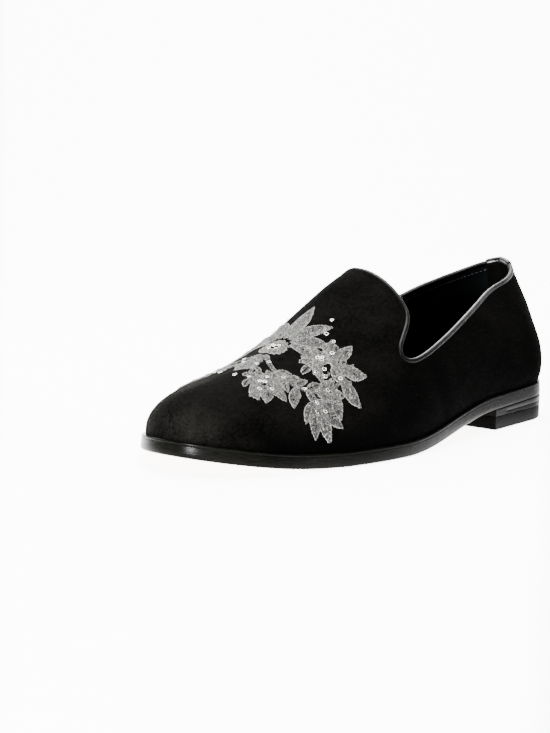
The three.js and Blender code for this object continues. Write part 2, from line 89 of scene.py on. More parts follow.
def resample(values: np.ndarray, keys: np.ndarray, targets: np.ndarray) -> np.ndarray:
    """Reads each line's values at new keys, linearly between its samples.

    Args:
        values: One line per row, as (lines, samples, 3).
        keys: Each sample's key, rising along its line.
        targets: The keys to read at, as (lines, readings).

    Returns:
        The values read, as (lines, readings, 3).
    """
    index = (keys[:, :, None] <= targets[:, None, :]).sum(1) - 1
    index = np.clip(index, 0, keys.shape[1] - 2)
    line = np.arange(len(keys))[:, None]
    low, high = keys[line, index], keys[line, index + 1]
    share = clamp((targets - low) / np.maximum(high - low, LEAST_STEP))[..., None]
    return mix(values[line, index], values[line, index + 1], share)


def lengths_along(points: np.ndarray) -> np.ndarray:
    """Length reached at each point of a line: the sum of the steps before it.

    Args:
        points: The line's points, along the axis before the last.

    Returns:
        The lengths, from 0.
    """
    steps = np.linalg.norm(np.diff(points, axis=-2), axis=-1)
    return np.concatenate([np.zeros_like(steps[..., :1]), np.cumsum(steps, -1)], -1)


def trough(away: np.ndarray, swell: float, swell_at: float) -> np.ndarray:
    """A trough with a swell next to it: swell * exp(-(away - swell_at)²) - exp(-away²)."""
    return swell * np.exp(-((away - swell_at) ** 2)) - np.exp(-(away**2))


class Spline:
    """Natural cubic spline through a table's column; an end with a slope keeps to it."""

    def __init__(self, xs: list, ys: list, start: float | None = None, end: float | None = None) -> None:
        """Solves the spline's second derivatives.

        Args:
            xs: Rising places.
            ys: The value at each.
            start: Slope at the first place, or None.
            end: Slope at the last place, or None.
        """
        self.xs, self.ys = np.array(xs, float), np.array(ys, float)
        step = np.diff(self.xs)
        rate = np.diff(self.ys) / step
        inner = np.arange(1, len(xs) - 1)
        system, right = np.eye(len(xs)), np.zeros(len(xs))
        system[inner, inner - 1] = step[:-1]
        system[inner, inner] = 2 * (step[:-1] + step[1:])
        system[inner, inner + 1] = step[1:]
        right[inner] = 6 * np.diff(rate)
        if start is not None:
            system[0, :2] = 2 * step[0], step[0]
            right[0] = 6 * (rate[0] - start)
        if end is not None:
            system[-1, -2:] = step[-1], 2 * step[-1]
            right[-1] = 6 * (end - rate[-1])
        self.bend = np.linalg.solve(system, right)

    def __call__(self, value: np.ndarray) -> np.ndarray:
        """The spline's value at each place, held past the ends.

        Args:
            value: The places.

        Returns:
            The values.
        """
        x = np.clip(value, self.xs[0], self.xs[-1])
        i = np.clip(np.searchsorted(self.xs, x, side="left") - 1, 0, len(self.xs) - 2)
        h = self.xs[i + 1] - self.xs[i]
        a, b = (self.xs[i + 1] - x) / h, (x - self.xs[i]) / h
        curve = ((a**3 - a) * self.bend[i] + (b**3 - b) * self.bend[i + 1]) * h * h / 6
        return a * self.ys[i] + b * self.ys[i + 1] + curve


def columns(names: str, rows: list) -> dict:
    """A table with named columns, as a dict of lists."""
    return dict(zip(names.split(), map(list, zip(*rows))))


# Sole outline: at is a share of the length; centre and half are shares of the ball width.
OUTLINE = columns("at centre half", [
    (0.00, -0.012, 0.292), (0.06, -0.003, 0.318), (0.16, 0.012, 0.339), (0.28, 0.040, 0.346),
    (0.42, 0.077, 0.368), (0.54, 0.071, 0.429), (0.64, 0.030, 0.481), (0.74, -0.010, 0.485),
    (0.84, -0.023, 0.445), (0.93, -0.014, 0.395), (1.00, 0.000, 0.345),
])
# Ridge over the foot: height as a share of the instep height, side as a share of the ball width.
RIDGE = columns("at height side", [
    (0.05, 1.370, -0.044), (0.20, 1.175, -0.051), (0.35, 1.063, -0.051), (0.45, 1.005, -0.049),
    (0.55, 0.912, -0.046), (0.65, 0.696, -0.038), (0.75, 0.521, -0.032), (0.85, 0.409, -0.027),
    (0.95, 0.301, -0.019),
])
# Sections by their share of the way around from heel to toe.
SECTION = columns("around bulge rise crown drop", [
    (0.00, 0.149, 0.304, 0.628, 0.209), (0.05, 0.184, 0.292, 0.484, 0.230),
    (0.10, 0.226, 0.282, 0.349, 0.245), (0.17, 0.220, 0.282, 0.307, 0.208),
    (0.28, 0.186, 0.311, 0.423, 0.089), (0.42, 0.123, 0.353, 0.615, 0.000),
    (0.56, 0.042, 0.374, 0.580, 0.000), (0.70, 0.007, 0.428, 0.430, 0.022),
    (0.84, 0.027, 0.518, 0.398, 0.022), (0.93, 0.082, 0.574, 0.446, 0.012),
    (1.00, 0.109, 0.594, 0.485, 0.003),
])
# Topline from the back of the collar, past the throat, to the tongue's tip.
TOPLINE = columns("around up", [
    (0.000, 0.577), (0.080, 0.578), (0.177, 0.563), (0.274, 0.495), (0.370, 0.439), (0.456, 0.407),
    (0.526, 0.406), (0.541, 0.476), (0.497, 0.562), (0.478, 0.688), (0.469, 0.855), (0.459, 1.000),
])
TONGUE_SLOPE = -0.13
OUTLINE_STEP = 0.002
TURN_STEP = 0.004
UP_STEP = 0.02
RIDGE_STEP = 0.001


@dataclass(frozen=True)
class Rounding:
    """A superellipse that rounds one end of the outline: its reach as a share, and its power."""

    reach: float
    power: float

    def width(self, inwards: np.ndarray) -> np.ndarray:
        """Share of the full width at a share of the length inwards from the tip."""
        past = clamp(1 - inwards / self.reach)
        return (1 - past**self.power) ** (1 / self.power)


@dataclass
class Last:
    """The form that the whole shoe is worked out from, with its driving sizes."""

    sole_length: float = 300.0
    ball_width: float = 104.0
    sole_thickness: float = 7.3
    instep_height: float = 80.0
    seat_height: float = 11.1
    seat_pitch: float = 2.6
    toe_spring: float = 8.6
    spring_power: float = 1.8
    flat_start: float = 0.60
    flat_end: float = 0.73
    seat_end: float = 0.24
    margin_heel: float = 1.6
    margin_toe: float = 2.4
    gap: float = 0.3
    ridge_start: float = 0.13
    ridge_end: float = 0.925
    heel: Rounding = Rounding(0.11, 2.3)
    toe: Rounding = Rounding(0.183, 2.15)
    arc_samples: int = 800

    def __post_init__(self) -> None:
        """Makes the splines and measures the outline along each side."""
        self.centre = Spline(OUTLINE["at"], OUTLINE["centre"])
        self.half = Spline(OUTLINE["at"], OUTLINE["half"])
        self.ridge_height = Spline(RIDGE["at"], RIDGE["height"])
        self.ridge_side = Spline(RIDGE["at"], RIDGE["side"])
        names = ("bulge", "rise", "crown", "drop")
        self.section = {name: Spline(SECTION["around"], SECTION[name]) for name in names}
        steps = np.linspace(0, 1, len(TOPLINE["up"]))
        self.topline_around = Spline(steps, TOPLINE["around"], end=TONGUE_SLOPE)
        self.topline_up = Spline(steps, TOPLINE["up"], start=0.0)
        at = (1 - np.cos(np.pi * np.linspace(0, 1, self.arc_samples + 1))) / 2
        self.arcs = {}
        widest = {}
        for side in (1, -1):
            y = self.outline_y(at, side)
            steps = np.hypot(np.diff(at) * self.sole_length, np.diff(y))
            self.arcs[side] = np.concatenate([[0], np.cumsum(steps)]), at
            widest[side] = (side * y).max()
        self.centring = (widest[-1] - widest[1]) / 2

    def underside(self, at: np.ndarray) -> np.ndarray:
        """Height of the sole's underside: the seat and its pitch, the arch, and the toe spring.

        Args:
            at: Share of the length from the heel.

        Returns:
            The height above the floor.
        """
        arch = smoothstep(clamp((self.flat_start - at) / (self.flat_start - self.seat_end)))
        pitch = clamp((self.seat_end - at) / self.seat_end)
        spring = clamp((at - self.flat_end) / (1 - self.flat_end)) ** self.spring_power
        return self.seat_height * arch + self.seat_pitch * pitch + self.toe_spring * spring

    def sole_top(self, at: np.ndarray) -> np.ndarray:
        """Height of the sole's upper face."""
        return self.underside(at) + self.sole_thickness

    def share(self, x: np.ndarray) -> np.ndarray:
        """Share of the length at an x."""
        return x / self.sole_length + 0.5

    def outline_y(self, at: np.ndarray, side: np.ndarray) -> np.ndarray:
        """The outline's y, not yet centred: the centre line, plus the half width and its roundings."""
        width = self.half(at) * self.heel.width(at) * self.toe.width(1 - at)
        return self.ball_width * (self.centre(at) + side * width)

    def arc_share(self, around: np.ndarray, side: np.ndarray) -> np.ndarray:
        """Share of the length at a share of the way around one side."""
        out, inn = (np.interp(around * self.arcs[s][0][-1], *self.arcs[s]) for s in (1, -1))
        return np.where(side > 0, out, inn)

    def outline(self, around: np.ndarray, side: np.ndarray) -> np.ndarray:
        """Points of the outline; past either tip it goes on along the other side.

        Args:
            around: Share of the way from heel to toe along one side.
            side: 1 on the outer side, -1 on the inner.

        Returns:
            The points, as x and y.
        """
        past = (around < 0) | (around > 1)
        way = np.where(around < 0, -around, np.where(around > 1, 2 - around, around))
        here = np.where(past, -side, side)
        at = self.arc_share(way, here)
        return np.stack([(at - 0.5) * self.sole_length, self.outline_y(at, here) + self.centring], -1)

    def inset(self, around: np.ndarray, side: np.ndarray, inset: np.ndarray) -> np.ndarray:
        """The outline moved inwards, square to itself.

        Args:
            around: Share of the way from heel to toe along one side.
            side: 1 on the outer side, -1 on the inner.
            inset: How far it moves.

        Returns:
            The points, as x and y.
        """
        here = self.outline(around, side)
        after, before = (self.outline(around + step, side) for step in (OUTLINE_STEP, -OUTLINE_STEP))
        along = unit(after - before)
        inwards = np.stack([side * along[..., 1], -side * along[..., 0]], -1)
        return here + inwards * np.asarray(inset)[..., None]

    def feather(self, around: np.ndarray, side: np.ndarray) -> np.ndarray:
        """The upper's lower edge, just above the sole and a margin inside its outline.

        Args:
            around: Share of the way from heel to toe along one side.
            side: 1 on the outer side, -1 on the inner.

        Returns:
            The points.
        """
        margin = mix(self.margin_heel, self.margin_toe, smoothstep(clamp(around)))
        flat = self.inset(around, side, margin)
        return np.concatenate([flat, self.sole_top(self.share(flat[..., :1])) + self.gap], -1)

    def ridge(self, at: np.ndarray) -> np.ndarray:
        """The ridge line over the foot.

        Args:
            at: Share of the length from the heel.

        Returns:
            The points.
        """
        return np.stack([
            (at - 0.5) * self.sole_length,
            self.ball_width * self.ridge_side(at) + self.centring,
            self.sole_top(at) + self.instep_height * self.ridge_height(at),
        ], -1)

    def surface(self, around: np.ndarray, up: np.ndarray, side: np.ndarray) -> np.ndarray:
        """The last's surface, as a function of the way around and the way up.

        Each section is the cubic Bezier curve of four points: the feather line's, one above it that
        leans by bulge towards the ridge, one that leaves the ridge along its slope, and the ridge's.

        Args:
            around: Share of the way from heel to toe.
            up: Share of the way up the section.
            side: 1 on the outer side, -1 on the inner.

        Returns:
            The points, in millimetres.
        """
        around, up, side = np.broadcast_arrays(around, up, side)
        foot = self.feather(around, side)
        ones = np.ones_like(around)
        mean = (self.arc_share(around, ones) + self.arc_share(around, -ones)) / 2
        at = mix(self.ridge_start, self.ridge_end, mean)
        ridge = self.ridge(at)
        along = self.ridge(at + RIDGE_STEP) - self.ridge(at - RIDGE_STEP)
        slope = along[..., 2] / along[..., 0]
        away = foot - ridge
        height = -away[..., 2]
        bulge, rise, crown, drop = (self.section[n](around) for n in ("bulge", "rise", "crown", "drop"))
        low = foot + np.stack([bulge * away[..., 0], bulge * away[..., 1], rise * height], -1)
        fall = slope * crown * away[..., 0] - drop * height
        high = ridge + np.stack([crown * away[..., 0], crown * away[..., 1], fall], -1)
        up, rest = up[..., None], 1 - up[..., None]
        return rest**3 * foot + 3 * up * rest**2 * low + 3 * up**2 * rest * high + up**3 * ridge


@dataclass
class Shell:
    """Lines over the last from the feather line to the cut edge, once around the shoe.

    A turn runs from 0 at the heel to 1 at the toe along the outer side, and on to 2 back along the
    inner side.
    """

    last: Last
    wall: float = 2.0
    binding_height: float = 2.4
    corner_start: float = 0.50
    corner_reach: float = 0.13
    samples: int = 128

    def place(self, turns: np.ndarray) -> tuple[np.ndarray, np.ndarray]:
        """The side and the share of the way around at each turn."""
        wrapped = np.mod(turns, 2)
        return np.where(wrapped <= 1, 1.0, -1.0), np.where(wrapped <= 1, wrapped, 2 - wrapped)

    def finished(self, turns: np.ndarray) -> np.ndarray:
        """The topline's finished edge."""
        side, around = self.place(turns)
        return self.last.surface(self.last.topline_around(around), self.last.topline_up(around), side)

    def cut(self, turns: np.ndarray) -> tuple[np.ndarray, ...]:
        """Where the velvet is cut: the finished edge moved back by the binding's height.

        The move is square to the edge. It is turned into shares around and up by the inverse of the
        surface's two slopes there.

        Args:
            turns: Places around the shoe.

        Returns:
            The side and the share around of each line's foot, and the shares around and up of its end.
        """
        last, step = self.last, TURN_STEP
        side, around = self.place(turns)
        edge_around, edge_up = last.topline_around(around), last.topline_up(around)
        low = np.minimum(edge_up, 1 - step)
        here = last.surface(edge_around, low, side)
        onward = (last.surface(edge_around + step, low, side) - here) / step
        upward = (last.surface(edge_around, low + step, side) - here) / step
        out = side[:, None] * unit(np.cross(upward, onward))
        along = unit(self.finished(turns + step) - self.finished(turns - step))
        back = np.cross(out, along) * (self.binding_height + last.gap)
        aa, ab, bb = ((p * q).sum(-1) for p, q in ((onward, onward), (onward, upward), (upward, upward)))
        oo, uu = (onward * back).sum(-1), (upward * back).sum(-1)
        area = aa * bb - ab * ab
        end_up = np.minimum(1, edge_up + (uu * aa - oo * ab) / area)
        return side, around, edge_around + (oo * bb - uu * ab) / area, end_up

    def lines(self, turns: np.ndarray) -> tuple[np.ndarray, np.ndarray]:
        """Each turn's line as points, with the length reached at each.

        A line climbs straight to the cut edge, except past the throat's corner: there it climbs to
        its end's share of the way up first, and then runs back over the vamp to the end.

        Args:
            turns: Places around the shoe.

        Returns:
            The points as (turns, samples, 3), and the lengths as (turns, samples).
        """
        side, around, end_around, end_up = (v[:, None] for v in self.cut(turns))
        corner = smoothstep(clamp((around - self.corner_start) / self.corner_reach))
        t = np.linspace(0, 1, self.samples + 1)[None]
        along = mix(t, clamp(2 * t - 1), corner)
        up = mix(t, clamp(2 * t), corner)
        points = self.last.surface(mix(around, end_around, along), end_up * up, side)
        return points, lengths_along(points)

    def outer(self, turns: np.ndarray, shares: np.ndarray) -> np.ndarray:
        """Points of the outer face, at shares of each line's length."""
        points, lengths = self.lines(turns)
        return resample(points, lengths, shares * lengths[:, -1:])

    def normal(self, turns: np.ndarray, shares: np.ndarray) -> np.ndarray:
        """The way out of the outer face, from four points nearby.

        Args:
            turns: Places around the shoe.
            shares: Shares of each line's length.

        Returns:
            Vectors of length 1.
        """
        onward = self.outer(turns + TURN_STEP, shares) - self.outer(turns - TURN_STEP, shares)
        upward = self.outer(turns, clamp(shares + UP_STEP)) - self.outer(turns, clamp(shares - UP_STEP))
        return unit(np.cross(upward, onward))

    def edge(self, turns: np.ndarray) -> tuple[np.ndarray, np.ndarray, np.ndarray]:
        """Where the wall ends.

        Args:
            turns: Places around the shoe.

        Returns:
            The middle of the wall at the cut edge, the way out, and the way on past the edge.
        """
        end = np.ones((len(turns), 1))
        out = self.normal(turns, end)[:, 0]
        along = self.outer(turns + TURN_STEP, end) - self.outer(turns - TURN_STEP, end)
        on = unit(np.cross(along[:, 0], out))
        return self.outer(turns, end)[:, 0] - out * self.wall / 2, out, on


def spaced_turns(count: int, closer: list) -> np.ndarray:
    """Turns once around the shoe, closer together near some places.

    Args:
        count: How many along each side.
        closer: Rows of a place as a share of the side, its reach, and how much closer.

    Returns:
        The turns, from 0 up to just before 2.
    """
    share = np.linspace(0, 1, 20 * count + 1)
    density = 1 + sum(f * np.exp(-(((share - at) / reach) ** 2)) for at, reach, f in closer)
    total = np.concatenate([[0], np.cumsum((density[1:] + density[:-1]) / 2)])
    side = np.interp(np.linspace(0, total[-1], count + 1), total, share)
    return np.concatenate([side, 2 - side[-2:0:-1]])


def grid_faces(lines: int, rows: int, around: bool = True, closed: bool = True) -> np.ndarray:
    """Quads of a grid whose point (line, row) has the index line * rows + row.

    Args:
        lines: How many lines.
        rows: Points in a line.
        around: Whether the last line joins the first.
        closed: Whether the last row joins the first.

    Returns:
        The quads, as (count, 4), which face out where the rows climb an outer face.
    """
    line = np.arange(lines if around else lines - 1)[:, None]
    row = np.arange(rows if closed else rows - 1)[None]
    here, after = line * rows, ((line + 1) % lines) * rows
    above = (row + 1) % rows
    quads = np.stack([after + row, here + row, here + above, after + above], -1)
    return quads.reshape(-1, 4)


class Piece:
    """Makes objects of the shoe, in place and riding on its body."""

    @staticmethod
    def make(name: str, points: np.ndarray, faces: list, materials: list, slot: Slot | None = None,
             replaces: tuple = (), indices: np.ndarray | None = None,
             sharp: float = 40.0) -> bpy.types.Object:
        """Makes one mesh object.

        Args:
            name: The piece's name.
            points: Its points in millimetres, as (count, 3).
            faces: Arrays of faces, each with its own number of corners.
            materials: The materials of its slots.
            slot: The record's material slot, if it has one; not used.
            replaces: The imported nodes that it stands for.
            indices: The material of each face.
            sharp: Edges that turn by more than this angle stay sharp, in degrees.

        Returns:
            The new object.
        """
        mesh = bpy.data.meshes.new(name)
        listed = [face for array in faces for face in array.tolist()]
        mesh.from_pydata(points * MM, [], listed)
        for material in materials:
            mesh.materials.append(material)
        if indices is not None:
            mesh.polygons.foreach_set("material_index", indices.astype(np.int32))
        mesh.shade_smooth()
        mesh.set_sharp_from_angle(angle=math.radians(sharp))
        mesh.validate()
        mesh.update()
        piece = bpy.data.objects.new(name, mesh)
        bpy.context.scene.collection.objects.link(piece)
        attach(piece, BODY)
        if replaces:
            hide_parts(*replaces)
        LOG.info("%s: %d faces", name, len(listed))
        return piece

    @staticmethod
    def ring_solid(rings: np.ndarray) -> list:
        """Faces of a solid of stacked rings, closed below and above by strips across.

        Args:
            rings: Points as (levels, count, 3), from the lowest ring up. Each ring runs from the
                heel's tip along the outer side and back along the inner side.

        Returns:
            The faces in four arrays: sides, underside, top, and the triangles at the strips' ends.
        """
        levels, count = rings.shape[:2]
        level = np.arange(levels - 1)[:, None] * count
        i = np.arange(count)[None]
        after = (i + 1) % count
        sides = np.stack([level + after, level + i, level + count + i, level + count + after], -1)
        strip = np.arange(1, (count - 1) // 2)
        under = np.stack([strip, strip + 1, count - strip - 1, count - strip], -1)
        ends = [[0, 1, count - 1]]
        if count % 2 == 0:
            half = count // 2
            ends.append([half - 1, half, half + 1])
        ends = np.array(ends)
        top = (levels - 1) * count
        caps = np.concatenate([ends, top + ends[:, ::-1]])
        return [sides.reshape(-1, 4), under, top + under[:, ::-1], caps]


class Value:
    """A number's socket in a node tree; arithmetic on it adds Math nodes."""

    def __init__(self, tree: "Tree", socket: bpy.types.NodeSocket) -> None:
        """Wraps a socket."""
        self.tree, self.socket = tree, socket

    def _math(self, operation: str, first: object, second: object) -> "Value":
        """A Math node on two numbers or values."""
        return self.tree.add("ShaderNodeMath", {0: first, 1: second}, operation=operation)

    def __add__(self, other: object) -> "Value":
        """self + other."""
        return self._math("ADD", self, other)

    __radd__ = __add__

    def __mul__(self, other: object) -> "Value":
        """self * other."""
        return self._math("MULTIPLY", self, other)

    __rmul__ = __mul__

    def __sub__(self, other: object) -> "Value":
        """self - other."""
        return self._math("SUBTRACT", self, other)

    def __rsub__(self, other: object) -> "Value":
        """other - self."""
        return self._math("SUBTRACT", other, self)


def colour(value: object) -> object:
    """A colour's link as it is, or a colour with its alpha."""
    return value if isinstance(value, Value) else (*value, 1.0)


class Tree:
    """A material's nodes."""

    def __init__(self, name: str) -> None:
        """Makes an empty material.

        Args:
            name: Its name.
        """
        self.material = bpy.data.materials.new(name)
        self.material.use_nodes = True
        self.nodes = self.material.node_tree.nodes
        self.nodes.clear()
        self.place = self.add("ShaderNodeTexCoord", out="Object")

    def add(self, kind: str, inputs: dict | None = None, out: int | str = 0,
            **settings: object) -> Value | None:
        """Adds a node.

        Args:
            kind: The node's type.
            inputs: The value or link of each socket, by name or number.
            out: Which output is wanted.
            settings: The node's own settings, which are set first.

        Returns:
            The wanted output, or None from a node that has none.
        """
        node = self.nodes.new(kind)
        for key, setting in settings.items():
            setattr(node, key, setting)
        for key, value in (inputs or {}).items():
            if isinstance(value, Value):
                self.material.node_tree.links.new(value.socket, node.inputs[key])
            else:
                node.inputs[key].default_value = value
        return Value(self, node.outputs[out]) if len(node.outputs) else None

    def noise(self, size: float, detail: float = 2.0, stretch: tuple = (1, 1, 1),
              rough: float = 0.5) -> Value:
        """Noise over the piece.

        Args:
            size: The size of its features, in millimetres.
            detail: How many finer layers it has.
            stretch: How far it is drawn out along each axis.
            rough: How strong the finer layers are.

        Returns:
            The noise, which lies about 0.5.
        """
        scale = tuple(1 / (size * MM * s) for s in stretch)
        mapped = self.add("ShaderNodeMapping", {"Vector": self.place, "Scale": scale})
        inputs = {"Vector": mapped, "Scale": 1.0, "Detail": detail, "Roughness": rough}
        return self.add("ShaderNodeTexNoise", inputs)

    def cells(self, size: float) -> Value:
        """Irregular cells over the piece.

        Args:
            size: A cell's size, in millimetres.

        Returns:
            The distance to the nearest cell's edge, as a share of the size.
        """
        mapped = self.add("ShaderNodeMapping", {"Vector": self.place, "Scale": (1 / (size * MM),) * 3})
        inputs = {"Vector": mapped, "Scale": 1.0}
        return self.add("ShaderNodeTexVoronoi", inputs, feature="DISTANCE_TO_EDGE")

    def steps(self, value: Value, low: float, high: float) -> Value:
        """0 below low, 1 above high, and smooth between."""
        inputs = {"Value": value, "From Min": low, "From Max": high}
        return self.add("ShaderNodeMapRange", inputs, interpolation_type="SMOOTHSTEP")

    def blend(self, share: Value, first: object, second: object) -> Value:
        """A colour from first to second by a share; each is a colour or a link."""
        inputs = {0: share, 6: colour(first), 7: colour(second)}
        return self.add("ShaderNodeMix", inputs, out=2, data_type="RGBA")

    def bump(self, height: Value) -> Value:
        """A normal from a height in metres."""
        return self.add("ShaderNodeBump", {"Height": height, "Strength": 1.0, "Distance": 1.0})

    def finish(self, base: object, roughness: object, normal: Value | None = None,
               **constants: object) -> bpy.types.Material:
        """Adds the shader and the output.

        Args:
            base: Base colour, or its link.
            roughness: Roughness, or its link.
            normal: The bumped normal.
            constants: Other sockets of the shader by name, with _ for a space.

        Returns:
            The material.
        """
        inputs = {"Base Color": colour(base), "Roughness": roughness}
        if normal is not None:
            inputs["Normal"] = normal
        for key, value in constants.items():
            words = key.replace("_", " ")
            inputs[words] = (*value, 1.0) if isinstance(value, tuple) else value
        shader = self.add("ShaderNodeBsdfPrincipled", inputs)
        self.add("ShaderNodeOutputMaterial", {"Surface": shader})
        return self.material


@dataclass(frozen=True)
class Velvet:
    """Short cut pile: near black from the front, with a soft pale sheen where it turns away."""

    deep: tuple = (0.00005, 0.00005, 0.00005)
    # The pale colour, which the mottling and the painted light blend towards.
    warm: tuple = (0.0034, 0.0032, 0.0028)
    sheen: float = 0.006
    sheen_roughness: float = 0.3
    sheen_tint: tuple = (0.66, 0.64, 0.56)
    specular: float = 0.005
    roughness: float = 0.95
    contrast: tuple = (0.36, 0.64)
    fibre: float = 0.42
    fibre_height: float = 0.00016
    tuft: float = 1.3
    tuft_height: float = 0.00022
    cloud: float = 17.0
    cloud_height: float = 0.0011

    def material(self) -> bpy.types.Material:
        """Makes the material: fibres, tufts and brushed clouds, in the colour and in the bump; the colour
        is also scaled by painted light, which is painted top light and a painted sheen at the toe's tip.

        Returns:
            The material.
        """
        tree = Tree("velvet")
        fibre = tree.noise(self.fibre, 2.0)
        tuft = tree.noise(self.tuft, 3.0, stretch=(1.8, 1, 1))
        cloud = tree.noise(self.cloud, 3.0, stretch=(1.7, 1, 1), rough=0.55)
        # Painted light from the skin's attribute: painted top light and a painted sheen at the toe's tip
        # scale the pale colour.
        painted_light = tree.add("ShaderNodeAttribute", attribute_name="painted_light", out="Fac")
        shade = tree.steps(cloud * 0.35 + tuft * 0.3 + fibre * 0.35, *self.contrast) * painted_light
        base = tree.blend(shade, self.deep, self.warm)
        height = fibre * self.fibre_height + tuft * self.tuft_height + cloud * self.cloud_height
        roughness = self.roughness - fibre * 0.15
        return tree.finish(base, roughness, tree.bump(height), Specular_IOR_Level=self.specular,
                           Sheen_Weight=self.sheen, Sheen_Roughness=self.sheen_roughness,
                           Sheen_Tint=self.sheen_tint)


@dataclass(frozen=True)
class Leather:
    """Dyed leather with a fine grain under a finish of some gloss."""

    name: str
    deep: tuple
    pale: tuple
    roughness: float
    grain: float
    relief: float
    specular: float = 0.3
    wear: float = 30.0

    def material(self) -> bpy.types.Material:
        """Makes the material: cells and pores in the bump, and uneven dye in the colour.

        Returns:
            The material.
        """
        tree = Tree(self.name)
        cells = tree.cells(self.grain)
        pores = tree.noise(self.grain * 0.45, 2.0)
        dye = tree.noise(self.wear, 3.0)
        shade = tree.steps(dye * 0.7 + pores * 0.3, 0.35, 0.65)
        base = tree.blend(shade, self.deep, self.pale)
        height = tree.steps(cells, 0.0, 0.25) * self.relief + pores * (self.relief * 0.5)
        roughness = self.roughness + (dye - 0.5) * 0.12 + (pores - 0.5) * 0.06
        return tree.finish(base, roughness, tree.bump(height), Specular_IOR_Level=self.specular)


@dataclass(frozen=True)
class EdgeInk:
    """Inked and burnished leather edge: long fibres lie along it under a satin wax."""

    name: str = "edge_ink"
    deep: tuple = (0.0003, 0.0003, 0.0002)
    pale: tuple = (0.0012, 0.0012, 0.0009)
    roughness: float = 0.26
    specular: float = 0.018
    fibre: float = 0.5

    def material(self) -> bpy.types.Material:
        """Makes the material: fibres drawn out along the shoe, and a slow unevenness of the wax.

        Returns:
            The material.
        """
        tree = Tree(self.name)
        fibre = tree.noise(self.fibre, 3.0, stretch=(9, 9, 1))
        fine = tree.noise(0.35, 2.0)
        slow = tree.noise(24.0, 2.0)
        base = tree.blend(tree.steps(fibre * 0.6 + slow * 0.4, 0.35, 0.65), self.deep, self.pale)
        height = fibre * 0.00005 + fine * 0.00002 + slow * 0.0003
        roughness = self.roughness + (slow - 0.5) * 0.16 + (fine - 0.5) * 0.08
        return tree.finish(base, roughness, tree.bump(height), Specular_IOR_Level=self.specular)


@dataclass(frozen=True)
class NaturalLeather:
    """Undyed sole leather: tan, with fibres, pores and a soft polish."""

    deep: tuple = (0.22, 0.11, 0.045)
    pale: tuple = (0.36, 0.20, 0.09)
    roughness: float = 0.42

    def material(self) -> bpy.types.Material:
        """Makes the material: mottled tan with fine pores.

        Returns:
            The material.
        """
        tree = Tree("natural_leather")
        mottle = tree.noise(9.0, 4.0)
        pores = tree.noise(0.6, 2.0)
        base = tree.blend(tree.steps(mottle * 0.75 + pores * 0.25, 0.3, 0.7), self.deep, self.pale)
        height = pores * 0.00004 + mottle * 0.00006
        return tree.finish(base, self.roughness + (mottle - 0.5) * 0.2, tree.bump(height))


@dataclass(frozen=True)
class Rubber:
    """Moulded heel rubber, matt, with a fine speckle."""

    deep: tuple = (0.0003, 0.0003, 0.0003)
    pale: tuple = (0.0012, 0.0012, 0.0011)
    roughness: float = 0.5
    specular: float = 0.01

    def material(self) -> bpy.types.Material:
        """Makes the material: a dull, faintly grained black.

        Returns:
            The material.
        """
        tree = Tree("heel_rubber")
        grain = tree.noise(0.5, 3.0)
        slow = tree.noise(14.0, 2.0)
        base = tree.blend(tree.steps(grain * 0.5 + slow * 0.5, 0.35, 0.65), self.deep, self.pale)
        return tree.finish(base, self.roughness + (slow - 0.5) * 0.2, tree.bump(grain * 0.00006),
                           Specular_IOR_Level=self.specular)


@dataclass(frozen=True)
class Thread:
    """Spun thread with a metallic glint; each stitch has its own tone in the attribute tone."""

    name: str
    dark: tuple
    light: tuple
    roughness: float = 0.42
    metallic: float = 0.35

    def material(self) -> bpy.types.Material:
        """Makes the material: the tone chooses the colour, and a twist shows in the bump.

        Returns:
            The material.
        """
        tree = Tree(self.name)
        tone = tree.add("ShaderNodeAttribute", attribute_name="tone", out="Fac")
        twist = tree.noise(0.22, 1.0)
        base = tree.blend(tone, self.dark, self.light)
        return tree.finish(base, self.roughness + (twist - 0.5) * 0.2, tree.bump(twist * 0.00008),
                           Metallic=self.metallic)


@dataclass(frozen=True)
class Crease:
    """A soft trough in the velvet, between two places on the shell."""

    side: int
    start: tuple
    end: tuple
    width: float
    depth: float


# Soft creases and hollows: each place is around and up.
CREASES = (
    Crease(1, (0.535, 0.36), (0.60, 0.12), 5.5, 0.55),
    Crease(1, (0.50, 0.30), (0.47, 0.10), 6.0, 0.40),
    Crease(1, (0.30, 0.36), (0.42, 0.30), 6.5, 0.45),
    Crease(1, (0.10, 0.34), (0.20, 0.22), 7.0, 0.40),
    Crease(1, (0.62, 0.30), (0.74, 0.26), 6.0, 0.35),
    Crease(-1, (0.535, 0.36), (0.60, 0.12), 5.5, 0.55),
    Crease(-1, (0.48, 0.30), (0.43, 0.12), 6.5, 0.45),
    Crease(-1, (0.28, 0.36), (0.40, 0.30), 6.5, 0.45),
    Crease(-1, (0.10, 0.34), (0.20, 0.20), 7.0, 0.40),
)


